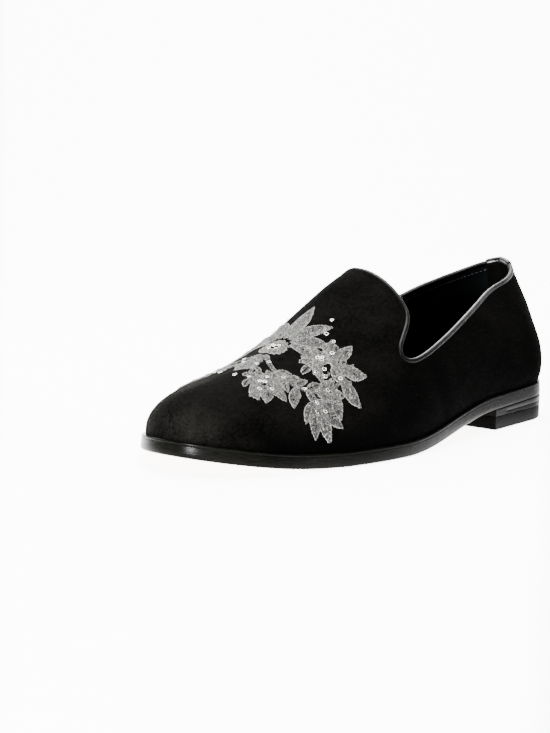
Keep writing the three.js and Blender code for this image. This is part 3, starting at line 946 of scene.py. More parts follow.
@dataclass
class Upper:
    """The velvet skin, the lining behind it, and the seam stitches below the topline."""

    shell: Shell
    skin: float = 1.15
    side_lines: int = 250
    rows: int = 84
    lining_rows: int = 26
    toe_crowding: float = 1.8
    tuck: float = 0.8
    sunk: float = 0.05
    lining_gap: float = 0.05
    fade_low: float = 0.08
    fade_high: float = 0.04
    seam_width: float = 0.55
    seam_depth: float = 0.38
    seam_end: float = 0.36
    # Painted light in the velvet's colour: a least share everywhere, painted top light, and a painted sheen
    # at the toe's tip.
    painted_light_least: float = 0.01
    painted_top_light: float = 0.5
    painted_tip_sheen: float = 0.75
    painted_sheen_start: float = 0.112
    tip_reach: float = 0.036
    stitch_drop: float = 2.1
    stitch_pitch: float = 2.6
    stitch_share: float = 0.68
    stitch_arch: float = 0.16
    stitch_radius: float = 0.2
    turns: np.ndarray = field(init=False)

    def __post_init__(self) -> None:
        """Places the lines of the skin."""
        closer = [(0.59, 0.065, 1.8), (0.0, 0.012, 5.0), (0.0, 0.06, 0.8), (1.0, 0.05, 0.4)]
        self.turns = spaced_turns(self.side_lines, closer)

    def shares(self, rows: int) -> np.ndarray:
        """Shares up each line, crowded down towards the feather line at the toe.

        Args:
            rows: Steps up a line.

        Returns:
            The shares, as (lines, rows + 1).
        """
        _, around = self.shell.place(self.turns)
        power = mix(1, self.toe_crowding, smoothstep(around))[:, None]
        return (np.arange(rows + 1) / rows)[None] ** power

    def relief(self, points: np.ndarray) -> np.ndarray:
        """How far the skin stands out: troughs of the creases, and the groove of the back seam.

        A trough falls by a bell curve of the distance to its line, and swells a little beside it.

        Args:
            points: Points of the outer face.

        Returns:
            The heights, below 0 in a trough.
        """
        last = self.shell.last
        lift = np.zeros(points.shape[:2])
        for crease in CREASES:
            a, b = (last.surface(np.array(p[0]), np.array(p[1]), np.array(float(crease.side)))
                    for p in (crease.start, crease.end))
            along = b - a
            t = clamp(((points - a) @ along) / (along @ along))
            away = np.linalg.norm(points - (a + t[..., None] * along), axis=-1) / crease.width
            lift += crease.depth * trough(away, 0.45, 1.7)
        back = points[..., 0] < -last.sole_length * self.seam_end
        seam = np.abs(points[..., 1] - points[:1, :, 1]) / self.seam_width
        return lift + np.where(back, trough(seam, 0.3, 2.2) * self.seam_depth, 0)

    def section(self, rows: int, near: float, far: float, relief: bool) -> np.ndarray:
        """Closed sections of a layer of the wall, once around the shoe.

        Args:
            rows: Steps up each face.
            near: Depth of its outer face below the last's surface.
            far: Depth of its inner face.
            relief: Whether its outer face has the creases and the seam.

        Returns:
            Points as (lines, points of a section, 3): up the outer face and down the inner one.
        """
        shares = self.shares(rows)
        outer = self.shell.outer(self.turns, shares)
        normal = self.shell.normal(self.turns, shares)
        lift = np.zeros(outer.shape[:2])
        if relief:
            low, high = shares / self.fade_low, (1 - shares) / self.fade_high
            lift = self.relief(outer) * (smoothstep(clamp(low)) * smoothstep(clamp(high)))
        _, _, on = self.shell.edge(self.turns)
        faces = []
        for depth in (near, far):
            face = outer - normal * depth
            if depth == near:
                face = face + normal * lift[..., None]
            face[:, 0, 2] = self.shell.last.sole_top(self.shell.last.share(face[:, 0, 0])) - self.sunk
            faces.append(np.concatenate([face, face[:, -1:] + on[:, None] * self.tuck], 1))
        return np.concatenate([faces[0], faces[1][:, ::-1]], 1)

    def build(self, velvet: bpy.types.Material, lining: bpy.types.Material,
              thread: bpy.types.Material) -> None:
        """Makes the skin, the lining and the stitches.

        Args:
            velvet: The skin's material.
            lining: The lining's.
            thread: The stitches'.
        """
        skin = self.section(self.rows, 0.0, self.skin, True)
        faces = grid_faces(*skin.shape[:2])
        piece = Piece.make("upper_velvet", skin.reshape(-1, 3), [faces], [velvet], Slot.VELVET, ("upper",),
                           sharp=60)
        self.paint_facing_light(piece)
        inner = self.section(self.lining_rows, self.skin + self.lining_gap, self.shell.wall, False)
        faces = grid_faces(*inner.shape[:2])
        Piece.make("upper_lining", inner.reshape(-1, 3), [faces], [lining], Slot.SOCK, sharp=60)
        self.stitches(thread)

    def paint_facing_light(self, piece: bpy.types.Object) -> None:
        """Writes painted light for the velvet's colour: painted top light where the skin faces up, and a
        painted sheen at the toe's tip.

        Args:
            piece: The skin, which gets the attribute of painted light.
        """
        mesh = piece.data
        count = len(mesh.vertices)
        place, normal = np.empty(count * 3, np.float32), np.empty(count * 3, np.float32)
        mesh.vertices.foreach_get("co", place)
        mesh.vertex_normals.foreach_get("vector", normal)
        x, facing = place[::3], normal[2::3]
        # Painted top light from the vertex normals, and a painted sheen at the toe's tip that fades on
        # faces turned down.
        top = smoothstep(clamp(facing * 1.25 - 0.1))
        tip = smoothstep(clamp((x - self.painted_sheen_start) / self.tip_reach)) * smoothstep(clamp(facing + 0.75))
        pale = self.painted_light_least + np.maximum(self.painted_top_light * top, self.painted_tip_sheen * tip)
        painted_light = mesh.attributes.new("painted_light", "FLOAT", "POINT")
        painted_light.data.foreach_set("value", pale.astype(np.float32))

    def stitches(self, thread: bpy.types.Material) -> None:
        """Sews a row of stitches on the lining, a little below the binding.

        Args:
            thread: The stitches' material.
        """
        fine = np.linspace(0, 2, 2001)
        length = lengths_along(self.shell.edge(fine)[0])
        count = int(length[-1] / self.stitch_pitch)
        starts = np.linspace(0, length[-1], count, endpoint=False)
        ends = starts + self.stitch_pitch * self.stitch_share
        t = np.linspace(0, 1, 5)
        turns = np.interp(mix(starts[:, None], ends[:, None], t), length, fine).ravel()
        points, lengths = self.shell.lines(turns)
        total = lengths[:, -1:]
        share = 1 - self.stitch_drop / total
        base = resample(points, lengths, share * total)[:, 0]
        normal = self.shell.normal(turns, share)[:, 0]
        lift = -self.shell.wall - 0.02 - self.stitch_arch * np.sin(np.pi * np.tile(t, count))
        spine = (base + normal * lift[:, None]).reshape(count, len(t), 3)
        Needle.cords("lining_stitches", spine, -normal.reshape(spine.shape), self.stitch_radius, thread)


class Needle:
    """Makes many short threads as one joined mesh, from a section as (across, out) in radii."""

    PROFILE = ((-1.0, -0.3), (-0.55, 0.8), (0.55, 0.8), (1.0, -0.3))

    @classmethod
    def cords(cls, name: str, spine: np.ndarray, out: np.ndarray, radius: float,
              material: bpy.types.Material, tone: np.ndarray | None = None) -> None:
        """Carries a small arched section along each thread's spine, thinner at its ends.

        Args:
            name: The piece's name.
            spine: Points of the threads, as (threads, stations, 3).
            out: The way out of the cloth at each.
            radius: Half the thread's width.
            material: The thread's material.
            tone: Each thread's tone, from 0 to 1.
        """
        threads, stations = spine.shape[:2]
        profile = np.array(cls.PROFILE)
        sides = len(profile)
        along = unit(np.gradient(spine, axis=1))
        across = unit(np.cross(along, out))
        taper = np.sin(np.pi * np.linspace(0.13, 0.87, stations)) ** 0.6
        width = (radius * taper)[None, :, None, None]
        section = profile[:, 0, None] * across[:, :, None] + profile[:, 1, None] * out[:, :, None]
        points = spine[:, :, None] + width * section
        one = grid_faces(stations, sides, around=False)[:, ::-1]
        caps = np.array([np.arange(sides), (stations - 1) * sides + np.arange(sides)[::-1]])
        first = np.arange(threads)[:, None, None] * stations * sides
        faces = [(first + one).reshape(-1, 4), (first + caps).reshape(-1, sides)]
        piece = Piece.make(name, points.reshape(-1, 3), faces, [material], sharp=80)
        values = np.full(threads, 0.5) if tone is None else tone
        layer = piece.data.attributes.new("tone", "FLOAT", "POINT")
        layer.data.foreach_set("value", np.repeat(values, stations * sides).astype(np.float32))


@dataclass
class Binding:
    """The rolled leather that caps the cut edge of collar, throat and tongue."""

    shell: Shell
    swell: float = 0.42
    overlap: float = 0.2
    sides: int = 24
    side_lines: int = 230
    power: float = 2.5
    waves: tuple = ((0.02, 61), (0.015, 143))

    def build(self, leather: bpy.types.Material) -> None:
        """Carries a rounded, slightly squared section along the edge; the roll is a little uneven.

        The section's radius is 1 / (|cos|^power + |sin|^power)^(1 / power) at each angle.

        Args:
            leather: The binding's material.
        """
        turns = spaced_turns(self.side_lines, [(0.59, 0.065, 2.6), (0.0, 0.06, 0.8)])
        middle, out, on = self.shell.edge(turns)
        height = self.shell.binding_height
        centre = middle + on * (self.shell.last.gap + height / 2)
        angle = 2 * np.pi * np.arange(self.sides) / self.sides
        squared = np.abs(np.cos(angle)) ** self.power + np.abs(np.sin(angle)) ** self.power
        shape = squared ** (-1 / self.power)
        (slow, slow_rate), (quick, quick_rate) = self.waves
        uneven = 1 + slow * np.sin(turns * slow_rate) + quick * np.sin(turns * quick_rate + 1)
        across = (self.shell.wall / 2 + self.swell) * uneven[:, None] * (shape * np.cos(angle))[None]
        along = (height / 2 + self.overlap) * (shape * np.sin(angle))[None]
        points = centre[:, None] + across[..., None] * out[:, None] + along[..., None] * on[:, None]
        Piece.make("collar_binding", points.reshape(-1, 3), [grid_faces(*points.shape[:2])], [leather],
                   Slot.BINDING, ("topline_binding",), sharp=70)


@dataclass
class HeelTab:
    """The small leather tab that turns over the top of the back seam."""

    shell: Shell
    width: float = 17.0
    taper: float = 0.35
    outside: float = 8.0
    inside: float = 17.0
    thickness: float = 0.8
    clear: float = 1.5
    corner: float = 3.0
    corner_power: float = 2.2
    edge_power: int = 9
    tip_reach: float = 1.2
    thinning: float = 0.7
    lines: int = 29
    reach: float = 0.2

    def build(self, leather: bpy.types.Material) -> None:
        """Makes the tab: stations run up the outside, over the fold and down the inside.

        On a flank the lower face lies clear of the wall. Over the fold it is an ellipse about the
        binding's middle. The upper face lies a thickness above it, and thins out at every edge.

        Args:
            leather: The tab's material.
        """
        shell = self.shell
        down = np.linspace(self.outside, 0, 15)
        fold = np.linspace(0, np.pi, 15)[1:-1]
        inner = np.linspace(0, self.inside, 19)
        depth = np.concatenate([down, np.zeros(len(fold)), inner])
        flank = np.concatenate([np.ones(len(down)), np.zeros(len(fold)), -np.ones(len(inner))])
        bend = np.concatenate([np.zeros(len(down)), fold, np.full(len(inner), np.pi)])
        limit = np.where(flank > 0, self.outside, self.inside)
        narrow = np.where(flank > 0, 1 - self.taper * depth / self.outside, 1.0)
        past = clamp((depth - limit + self.corner) / self.corner)
        rounded = (1 - past**self.corner_power) ** (1 / self.corner_power)
        half = self.width / 2 * narrow - self.corner * (1 - rounded)
        share = np.linspace(-1, 1, self.lines)
        offset = share[:, None] * half[None]
        turns = self.turn_at(offset).ravel()
        points, lengths = shell.lines(turns)
        total = lengths[:, -1:]
        deep = np.tile(depth, self.lines)[:, None]
        base = resample(points, lengths, total - deep)[:, 0]
        normal = shell.normal(turns, 1 - deep / total)[:, 0]
        middle, out, on = shell.edge(turns)
        angle = np.tile(bend, self.lines)[:, None]
        on_fold = (np.tile(flank, self.lines) == 0)[:, None]
        height = shell.binding_height / 2 + self.clear - shell.wall / 2 - 0.1
        centre = middle + on * (shell.last.gap + shell.binding_height / 2)
        way = out * np.cos(angle) + on * np.sin(angle)
        far = self.clear * height / np.hypot(height * np.cos(angle), self.clear * np.sin(angle))
        side = np.tile(flank, self.lines)[:, None]
        flat = base - normal * shell.wall / 2 + normal * side * self.clear
        near = np.where(on_fold, centre + way * far, flat)
        outwards = np.where(on_fold, way, normal * side)
        edge = np.abs(share[:, None]) ** self.edge_power
        tip = clamp(1 - (limit - depth) / self.tip_reach) ** 3 * (flank != 0)
        pillow = self.thickness * (1 - self.thinning * np.maximum(edge, tip[None]))
        top = near + outwards * pillow.reshape(-1, 1)
        grid = (self.lines, len(depth), 3)
        loop = np.stack([near.reshape(grid), top.reshape(grid)])
        Piece.make("back_tab", *self.close(loop), [leather], Slot.TAB, ("heel_tab",), sharp=75)

    def turn_at(self, offset: np.ndarray) -> np.ndarray:
        """The turn at a distance along the collar's edge from the back seam.

        Args:
            offset: The distances, above 0 on the outer side.

        Returns:
            The turns.
        """
        turns = np.linspace(0, self.reach, 60)
        result = np.zeros_like(offset)
        for side in (1, -1):
            length = lengths_along(self.shell.edge(side * turns)[0])
            here = np.sign(offset) == side
            result[here] = side * np.interp(np.abs(offset[here]), length, turns)
        return result

    @staticmethod
    def close(faces: np.ndarray) -> tuple[np.ndarray, list]:
        """Joins a lower and an upper grid into one closed sheet.

        Args:
            faces: Points as (2, lines, rows, 3).

        Returns:
            The points and their quads.
        """
        _, lines, rows, _ = faces.shape
        under = grid_faces(lines, rows, around=False, closed=False)
        base = lines * rows
        rim = np.concatenate([
            np.arange(rows), np.arange(1, lines) * rows + rows - 1,
            (lines - 1) * rows + np.arange(rows - 2, -1, -1), np.arange(lines - 2, 0, -1) * rows,
        ])
        after = np.roll(rim, -1)
        walls = np.stack([rim, after, base + after, base + rim], -1)
        return faces.reshape(-1, 3), [under[:, ::-1], base + under, walls]


@dataclass
class Sole:
    """The leather sole: an inked edge with a bead at its top, and a tan underside with a channel."""

    last: Last
    steps: int = 230

    # Rings from the underside's middle out, up the edge and in over the top: how far the ring lies
    # inside the outline, whether its height counts from the top or from the underside, that height,
    # and whether the strip from it to the next ring is left tan.
    RINGS = columns("inset top height tan", [
        (9.0, 0, 0.00, 1), (7.0, 0, 0.00, 1), (6.6, 0, 0.22, 1), (6.2, 0, 0.00, 1), (3.0, 0, 0.00, 1),
        (1.60, 0, 0.00, 0), (0.75, 0, 0.16, 0), (0.24, 0, 0.55, 0), (0.04, 0, 1.20, 0),
        (0.10, 0, 2.60, 0), (0.22, 0, 4.20, 0), (0.36, 1, -1.75, 0), (0.60, 1, -1.50, 0),
        (0.60, 1, -1.32, 0), (0.38, 1, -1.08, 0), (0.34, 1, -0.75, 0), (0.42, 1, -0.35, 0),
        (0.62, 1, -0.08, 0), (0.95, 1, 0.00, 0), (2.60, 1, 0.00, 0),
    ])

    def ring(self, inset: float, top: int, height: float) -> np.ndarray:
        """One ring of the sole.

        Args:
            inset: How far it lies inside the outline.
            top: 1 where its height counts from the top, 0 from the underside.
            height: That height.

        Returns:
            The points.
        """
        share = np.arange(2 * self.steps) / self.steps
        side = np.where(share <= 1, 1.0, -1.0)
        around = np.where(share <= 1, share, 2 - share)
        flat = self.last.inset(around, side, np.full(len(share), inset))
        level = self.last.sole_top if top else self.last.underside
        return np.concatenate([flat, level(self.last.share(flat[:, :1])) + height], 1)

    def build(self, ink: bpy.types.Material, natural: bpy.types.Material) -> None:
        """Makes the sole.

        Args:
            ink: The edge's material.
            natural: The underside's.
        """
        rows = self.RINGS
        rings = np.stack([self.ring(*row) for row in zip(rows["inset"], rows["top"], rows["height"])])
        faces = Piece.ring_solid(rings)
        tan = np.array(rows["tan"][:-1])
        indices = np.concatenate([
            np.repeat(tan, rings.shape[1]), np.ones(len(faces[1])), np.zeros(len(faces[2])), [1, 1, 0, 0],
        ])
        Piece.make("leather_sole", rings.reshape(-1, 3), faces, [ink, natural], Slot.SOLE, ("outsole",),
                   indices=indices, sharp=35)


@dataclass
class Heel:
    """The stacked leather lift and the rubber top piece under the heel seat."""

    last: Last
    length: float = 78.0
    top_piece: float = 7.2
    clear: float = 0.02
    steps: int = 90

    # Rings of the lift: how far inside the outline, and the share of the way up to the sole.
    LIFT = ((0.22, 0.0), (0.0, 0.05), (0.0, 0.46), (0.07, 0.485), (0.07, 0.515), (0.0, 0.54),
            (0.0, 0.95), (0.22, 1.0))

    def ring(self, inset: float, height: Callable[[np.ndarray], np.ndarray]) -> np.ndarray:
        """One ring: the outline as far as the straight front.

        Args:
            inset: How far it lies inside the outline and behind the front.
            height: Gives its height at a share of the length.

        Returns:
            The points.
        """
        front = self.length - self.last.sole_length / 2 - inset
        share = np.linspace(0, 0.5, 1200)
        rings = []
        for side in (1.0, -1.0):
            x = self.last.inset(share, np.full(len(share), side), np.full(len(share), inset))[:, 0]
            reach = np.interp(front, x, share)
            around = np.linspace(0, reach, self.steps + 1)
            ones = np.ones(self.steps + 1)
            rings.append(self.last.inset(around, side * ones, inset * ones))
        flat = np.concatenate([rings[0], rings[1][:0:-1]])
        return np.concatenate([flat, height(self.last.share(flat[:, :1]))], 1)

    def build(self, leather: bpy.types.Material, rubber: bpy.types.Material) -> None:
        """Makes the lift with a groove between its leathers, and the top piece with a worn edge.

        Args:
            leather: The lift's material.
            rubber: The top piece's.
        """
        low = self.top_piece + self.last.gap / 2

        def between(share: float) -> Callable[[np.ndarray], np.ndarray]:
            """Height at a share of the way from the top piece to the sole."""
            return lambda at: mix(low, self.last.underside(at) - self.clear, share)

        lift = np.stack([self.ring(inset, between(share)) for inset, share in self.LIFT])
        Piece.make("heel_stack", lift.reshape(-1, 3), Piece.ring_solid(lift), [leather], Slot.HEEL,
                   ("heel_lift",), sharp=35)
        rows = ((1.0, 0.0), (0.35, 0.12), (0.08, 0.5), (0.0, 1.0), (0.0, self.top_piece - 0.5),
                (0.12, self.top_piece - 0.12), (0.3, self.top_piece))
        piece = np.stack([self.ring(inset, lambda at, z=z: np.full_like(at, z)) for inset, z in rows])
        Piece.make("heel_rubber_piece", piece.reshape(-1, 3), Piece.ring_solid(piece), [rubber],
                   Slot.RUBBER, ("heel_top_piece",), sharp=35)


@dataclass
class Sock:
    """The insole's leather sock, which dips a little in the middle of the heel."""

    upper: Upper
    thickness: float = 2.6
    play: float = 0.15
    wall_rows: int = 40
    used_rows: int = 16
    least_height: float = 0.5

    def build(self, leather: bpy.types.Material) -> None:
        """Makes the sock inside the wall's inner face, which it follows at each ring's height.

        Args:
            leather: The sock's material.
        """
        shell = self.upper.shell
        last = shell.last
        shares = self.upper.shares(self.wall_rows)[:, :self.used_rows]
        normal = shell.normal(self.upper.turns, shares)
        inner = shell.outer(self.upper.turns, shares) - normal * shell.wall
        heights = inner[..., 2] - last.sole_top(last.share(inner[..., 0]))
        heights = np.maximum.accumulate(heights, 1)
        rings = []
        for inset, height in ((0.0, 0.02), (0.0, self.thickness - 0.5), (0.4, self.thickness),
                              (3.0, self.thickness - 0.15), (9.0, self.thickness - 0.5)):
            level = np.full((len(inner), 1), max(height, self.least_height))
            edge = resample(inner, heights, level)[:, 0]
            flat = edge[:, :2] - unit(normal[:, 0, :2]) * (self.play + inset)
            at = last.share(flat[:, :1])
            rings.append(np.concatenate([flat, last.sole_top(at) + height], 1))
        solid = np.stack(rings)
        Piece.make("sock", solid.reshape(-1, 3), Piece.ring_solid(solid), [leather], Slot.SOCK, ("insole",),
                   sharp=50)


@dataclass
class Vamp:
    """A map from a flat drawing to the vamp: s along the ridge from the tongue, t across it."""

    last: Last
    s_range: tuple = (20.0, 132.0)
    t_limit: float = 64.0
    step: float = 1.0

    def __post_init__(self) -> None:
        """Lays a grid of the drawing over the last, with the way out at each point."""
        around = np.linspace(TOPLINE["around"][-1], 0.97, 400)
        ones = np.ones_like(around)
        ridge = self.last.surface(around, ones, ones)
        length = lengths_along(ridge)
        s = np.arange(*self.s_range, self.step)
        t = np.arange(0, self.t_limit, self.step)
        at = np.interp(s, length, around)[:, None]
        up = np.linspace(1, 0.02, 160)[None]
        halves = {}
        for side in (1, -1):
            points = self.last.surface(at, up, np.full_like(at * up, side))
            halves[side] = resample(points, lengths_along(points), np.repeat(t[None], len(s), 0))
        self.points = np.concatenate([halves[-1][:, :0:-1], halves[1]], 1)
        self.out = unit(np.cross(np.gradient(self.points, axis=0), np.gradient(self.points, axis=1)))

    def place(self, drawn: np.ndarray) -> tuple[np.ndarray, np.ndarray]:
        """Carries points of the drawing to the vamp, bilinearly between the grid's points.

        Args:
            drawn: The points, as s and t.

        Returns:
            The points on the vamp, and the way out at each.
        """
        rows, lines = self.points.shape[:2]
        i = np.clip((drawn[..., 0] - self.s_range[0]) / self.step, 0, rows - 1.001)
        j = np.clip(drawn[..., 1] / self.step + lines // 2, 0, lines - 1.001)
        a, b = i.astype(int), j.astype(int)
        u, v = (i - a)[..., None], (j - b)[..., None]

        def read(grid: np.ndarray) -> np.ndarray:
            """Reads one grid."""
            near, far = (mix(grid[a, c], grid[a + 1, c], u) for c in (b, b + 1))
            return mix(near, far, v)

        return read(self.points), unit(read(self.out))


def bezier(*corners: tuple, count: int = 60) -> np.ndarray:
    """A cubic Bezier curve in the drawing.

    Args:
        corners: Its four points.
        count: How many points are read off it.

    Returns:
        The points, as s and t.
    """
    t = np.linspace(0, 1, count)[:, None]
    a, b, c, d = (np.array(corner, float) for corner in corners)
    return (1 - t) ** 3 * a + 3 * t * (1 - t) ** 2 * b + 3 * t**2 * (1 - t) * c + t**3 * d


def spiral(centre: tuple, radii: tuple, degrees: tuple, count: int = 120) -> np.ndarray:
    """A spiral in the drawing: the radius and the angle both change evenly.

    Args:
        centre: Its middle.
        radii: The first and last radius.
        degrees: The first and last angle, from +s towards +t.
        count: How many points are read off it.

    Returns:
        The points, as s and t.
    """
    angle = np.radians(np.linspace(*degrees, count))
    radius = np.linspace(*radii, count)
    return np.stack([centre[0] + radius * np.cos(angle), centre[1] + radius * np.sin(angle)], 1)


def heading(degrees: float) -> np.ndarray:
    """The direction at an angle from +s towards +t."""
    return np.array([math.cos(math.radians(degrees)), math.sin(math.radians(degrees))])


def beside(ahead: np.ndarray) -> np.ndarray:
    """Directions turned a quarter round to their left."""
    return np.stack([-ahead[:, 1], ahead[:, 0]], 1)


@dataclass
class Embroidery:
    """A palmette over a rosette, between leafy scrolls, in silver-grey satin stitch and ring sequins.

    The drawing is symmetric about the ridge. Its centre lies where the vamp faces up and forwards.
    """

    # Leaves as (degrees, length, half width), with their share of a scroll first on the scrolls. The
    # two rows of sequins are shares of a scroll too.
    PALMETTE = ((156, 23, 3.0), (132, 20, 2.7), (108, 16, 2.3))
    FAN = ((20, 12, 2.4), (48, 16, 2.8), (74, 18, 2.8), (100, 16, 2.6), (128, 12, 2.2))
    MAIN_LEAVES = (
        (0.10, 95, 10, 2.2), (0.20, 25, 11, 2.2), (0.26, 120, 9, 2.0), (0.33, 50, 13, 2.6),
        (0.40, 75, 15, 2.8), (0.46, 110, 14, 2.6), (0.52, 150, 12, 2.4), (0.58, 175, 10, 2.1),
        (0.66, 215, 8, 1.8), (0.73, 262, 6, 1.5),
    )
    LOW_LEAVES = (
        (0.18, 75, 8, 1.8), (0.30, 60, 9, 2.0), (0.42, -20, 8, 1.8), (0.50, 20, 9, 2.0),
        (0.58, 70, 10, 2.1), (0.68, 120, 7, 1.7), (0.78, 170, 5, 1.3),
    )
    MAIN_SEQUINS = (0.05, 0.14, 0.22, 0.30, 0.38, 0.62, 0.78, 0.9)
    LOW_SEQUINS = (0.1, 0.24, 0.36, 0.48, 0.7, 0.9)

    vamp: Vamp
    centre: float = 74.0
    pitch: float = 0.46
    radius: float = 0.27
    seed: int = 20
    grow: tuple = (1.10, 1.22)
    longest: float = 1.5
    bright: float = 2.5
    dark_below: float = 0.55
    pale_above: float = 0.9
    arch: tuple = (0.10, 0.14)
    sequin_segments: int = 12
    sequin_sides: int = 6
    sequin_lift: float = 0.62
    sequin_wire: float = 0.24
    starts: list = field(default_factory=list)
    ends: list = field(default_factory=list)
    tones: list = field(default_factory=list)
    rings: list = field(default_factory=list)

    def __post_init__(self) -> None:
        """Starts the random draws."""
        self.random = np.random.default_rng(self.seed)

    def sew(self, start: np.ndarray, end: np.ndarray, tone: np.ndarray, jitter: float = 0.38) -> None:
        """Adds stitches and their mirror images, each a little uneven.

        Args:
            start: Where they start in the drawing.
            end: Where they end.
            tone: Their tones.
            jitter: How much the tone varies from one strand of three stitches to the next.
        """
        for mirror in (1.0, -1.0):
            flip = np.array([1.0, mirror])
            uneven = self.random.normal(0, 0.12, (2, *start.shape))
            strands = self.random.normal(0, jitter, len(start) // 3 + 1).repeat(3)[:len(start)]
            self.starts.append(start * flip + uneven[0])
            self.ends.append(end * flip + uneven[1])
            self.tones.append(np.maximum(tone + strands, 0))

    def along(self, spine: np.ndarray, pitch: float) -> tuple[np.ndarray, np.ndarray, np.ndarray]:
        """Spaces points evenly along a line.

        Args:
            spine: The line.
            pitch: The distance between them.

        Returns:
            The points, the line's direction at each, and the share of its length reached.
        """
        length = lengths_along(spine)
        count = max(4, int(length[-1] / pitch))
        reached = np.linspace(0, length[-1], count)
        points = np.stack([np.interp(reached, length, spine[:, k]) for k in (0, 1)], 1)
        return points, unit(np.gradient(points, axis=0)), reached / length[-1]

    def leaf(self, spine: np.ndarray, width: float, tone: float = 0.55, veined: bool = True) -> None:
        """Fills a leaf: stitches leave its midrib slanting forwards, paler on one side of it.

        Its half width is width * sin(pi * share^0.75) at each share of its length, so that it is
        fullest before the middle.

        Args:
            spine: Its midrib.
            width: Half its width where it is fullest.
            tone: Its tone, from 0 to 1.
            veined: Whether the midrib stays open.
        """
        points, ahead, share = self.along(spine, self.pitch)
        across = beside(ahead)
        half = (width * np.sin(np.pi * share**0.75) + 0.15)[:, None]
        for side, shade in ((1.0, tone + 0.18), (-1.0, tone - 0.16)):
            edge = points + across * half * side + ahead * half * 0.7
            inner = points + across * side * (0.22 if veined else 0.0)
            self.sew(inner, edge, np.full(len(points), shade))
            self.sew(edge[:-1], edge[1:], np.full(len(points) - 1, self.bright), 0.1)
        if width > 1.6:
            self.seeds(points, half[:, 0] * 0.75)

    def seeds(self, points: np.ndarray, spread: np.ndarray) -> None:
        """Scatters short bright and dark stitches over a filled shape.

        Args:
            points: Its middle line.
            spread: How far they stray from each point.
        """
        points, spread = points.repeat(2, 0), spread.repeat(2)
        count = len(points)
        centre = points + self.random.uniform(-1, 1, (count, 2)) * spread[:, None]
        angle = self.random.uniform(0, np.pi, count)
        reach = np.stack([np.cos(angle), np.sin(angle)], 1) * 0.5
        self.sew(centre - reach, centre + reach, self.random.choice([0.0, 1.0], count), 0.1)

    def stem(self, spine: np.ndarray, width: tuple, tone: float = 0.6) -> None:
        """Covers a line with slanting stitches from edge to edge; its width changes evenly.

        Args:
            spine: The line.
            width: Its first and last width.
            tone: Its tone, from 0 to 1.
        """
        points, ahead, share = self.along(spine, self.pitch)
        across = beside(ahead) * (mix(*width, share) / 2)[:, None]
        slant = ahead * 0.45
        self.sew(points - across - slant, points + across + slant, np.full(len(points), tone))

    def sprout(self, base: np.ndarray, degrees: float, length: float, width: float, curl: float = 0.25,
               tone: float = 0.55) -> None:
        """Adds a leaf whose tip curls to one side.

        Args:
            base: Where it starts.
            degrees: Its angle, from +s towards +t.
            length: Its length.
            width: Half its width.
            curl: How far its tip strays to its left, as a share of the length.
            tone: Its tone, from 0 to 1.
        """
        ahead = heading(degrees)
        stray = np.array([-ahead[1], ahead[0]]) * curl * length
        base = np.asarray(base, float)
        corners = (base, base + ahead * length * 0.4, base + ahead * length * 0.75 + stray * 0.3,
                   base + ahead * length + stray)
        self.leaf(bezier(*corners), width, tone)

    def fronds(self, spine: np.ndarray, first: float, last: float, count: int, length: float,
               width: float) -> None:
        """Adds pairs of small leaves along a line, which lean forwards and vary in length.

        Args:
            spine: The line.
            first: Share of the line at the first pair.
            last: Share at the last pair.
            count: How many pairs.
            length: A leaf's length.
            width: Half of its width.
        """
        ahead = unit(np.gradient(spine, axis=0))
        for share in np.linspace(first, last, count):
            index = int(share * (len(spine) - 1))
            way = math.degrees(math.atan2(ahead[index, 1], ahead[index, 0]))
            for side in (1, -1):
                size = self.random.uniform(0.7, 1.15)
                lean = side * self.random.uniform(42, 68)
                tone = self.random.choice([0.25, 0.45, 0.65])
                self.sprout(spine[index], way + lean, length * size, width * size, -0.25 * side, tone)

    def leaves(self, spine: np.ndarray, rows: tuple, curl: float) -> None:
        """Adds leaves along a line.

        Args:
            spine: The line.
            rows: Each leaf's share of the line, its angle, length and half width.
            curl: How far their tips stray.
        """
        for share, degrees, length, width in rows:
            self.sprout(spine[int(share * (len(spine) - 1))], degrees, length, width, curl)

    def sequins(self, points: list, radius: float) -> None:
        """Adds ring sequins and their mirror images.

        Args:
            points: Their middles.
            radius: Their radius.
        """
        for mirror in (1.0, -1.0):
            self.rings.extend((s, t * mirror, radius) for s, t in points)

    def draw(self) -> None:
        """Draws the whole motif, the outer side of it; each element is mirrored as it is sewn."""
        c = self.centre
        middle, eye = np.array([c, 0]), np.array([c + 3, 0])
        self.leaf(np.linspace((c - 5, 0), (c - 30, 0), 40), 3.2, 0.62)
        for degrees, length, width in self.PALMETTE:
            way = heading(degrees)
            self.sprout(middle + way * 5.5, degrees, length - 2, width, -0.16, 0.58)
            self.sequins([middle + way * (length + 5.5)], 0.8)
        for degrees in np.arange(11.25, 180, 22.5):
            way = heading(degrees)
            self.leaf(np.linspace(eye + way * 1.8, eye + way * 6.2, 14), 1.15, 0.7, False)
        self.sequins([(c + 3, 0.0), (c + 1.8, 1.6), (c + 4.4, 1.7)], 0.8)
        main = np.concatenate([
            bezier((c + 11, 1.5), (c + 24, 12), (c + 16, 33), (c - 3, 34)),
            spiral((c - 3, 25), (9, 2.4), (90, 470))[1:],
        ])
        self.fronds(main, 0.10, 0.70, 15, 7.5, 1.5)
        self.stem(main, (2.6, 1.2), 0.62)
        low = np.concatenate([
            bezier((c + 13, 1.5), (c + 20, 3), (c + 36, 6), (c + 33, 17)),
            spiral((c + 27, 15.5), (6, 1.8), (10, 380))[1:],
        ])
        self.fronds(low, 0.12, 0.72, 10, 6.0, 1.3)
        self.stem(low, (2.2, 1.0), 0.6)
        self.leaves(main, self.MAIN_LEAVES, 0.3)
        self.leaves(low, self.LOW_LEAVES, 0.28)
        fan = np.array([c + 10, 34.0])
        for degrees, length, width in self.FAN:
            self.sprout(fan, degrees, length, width, 0.2, 0.5)
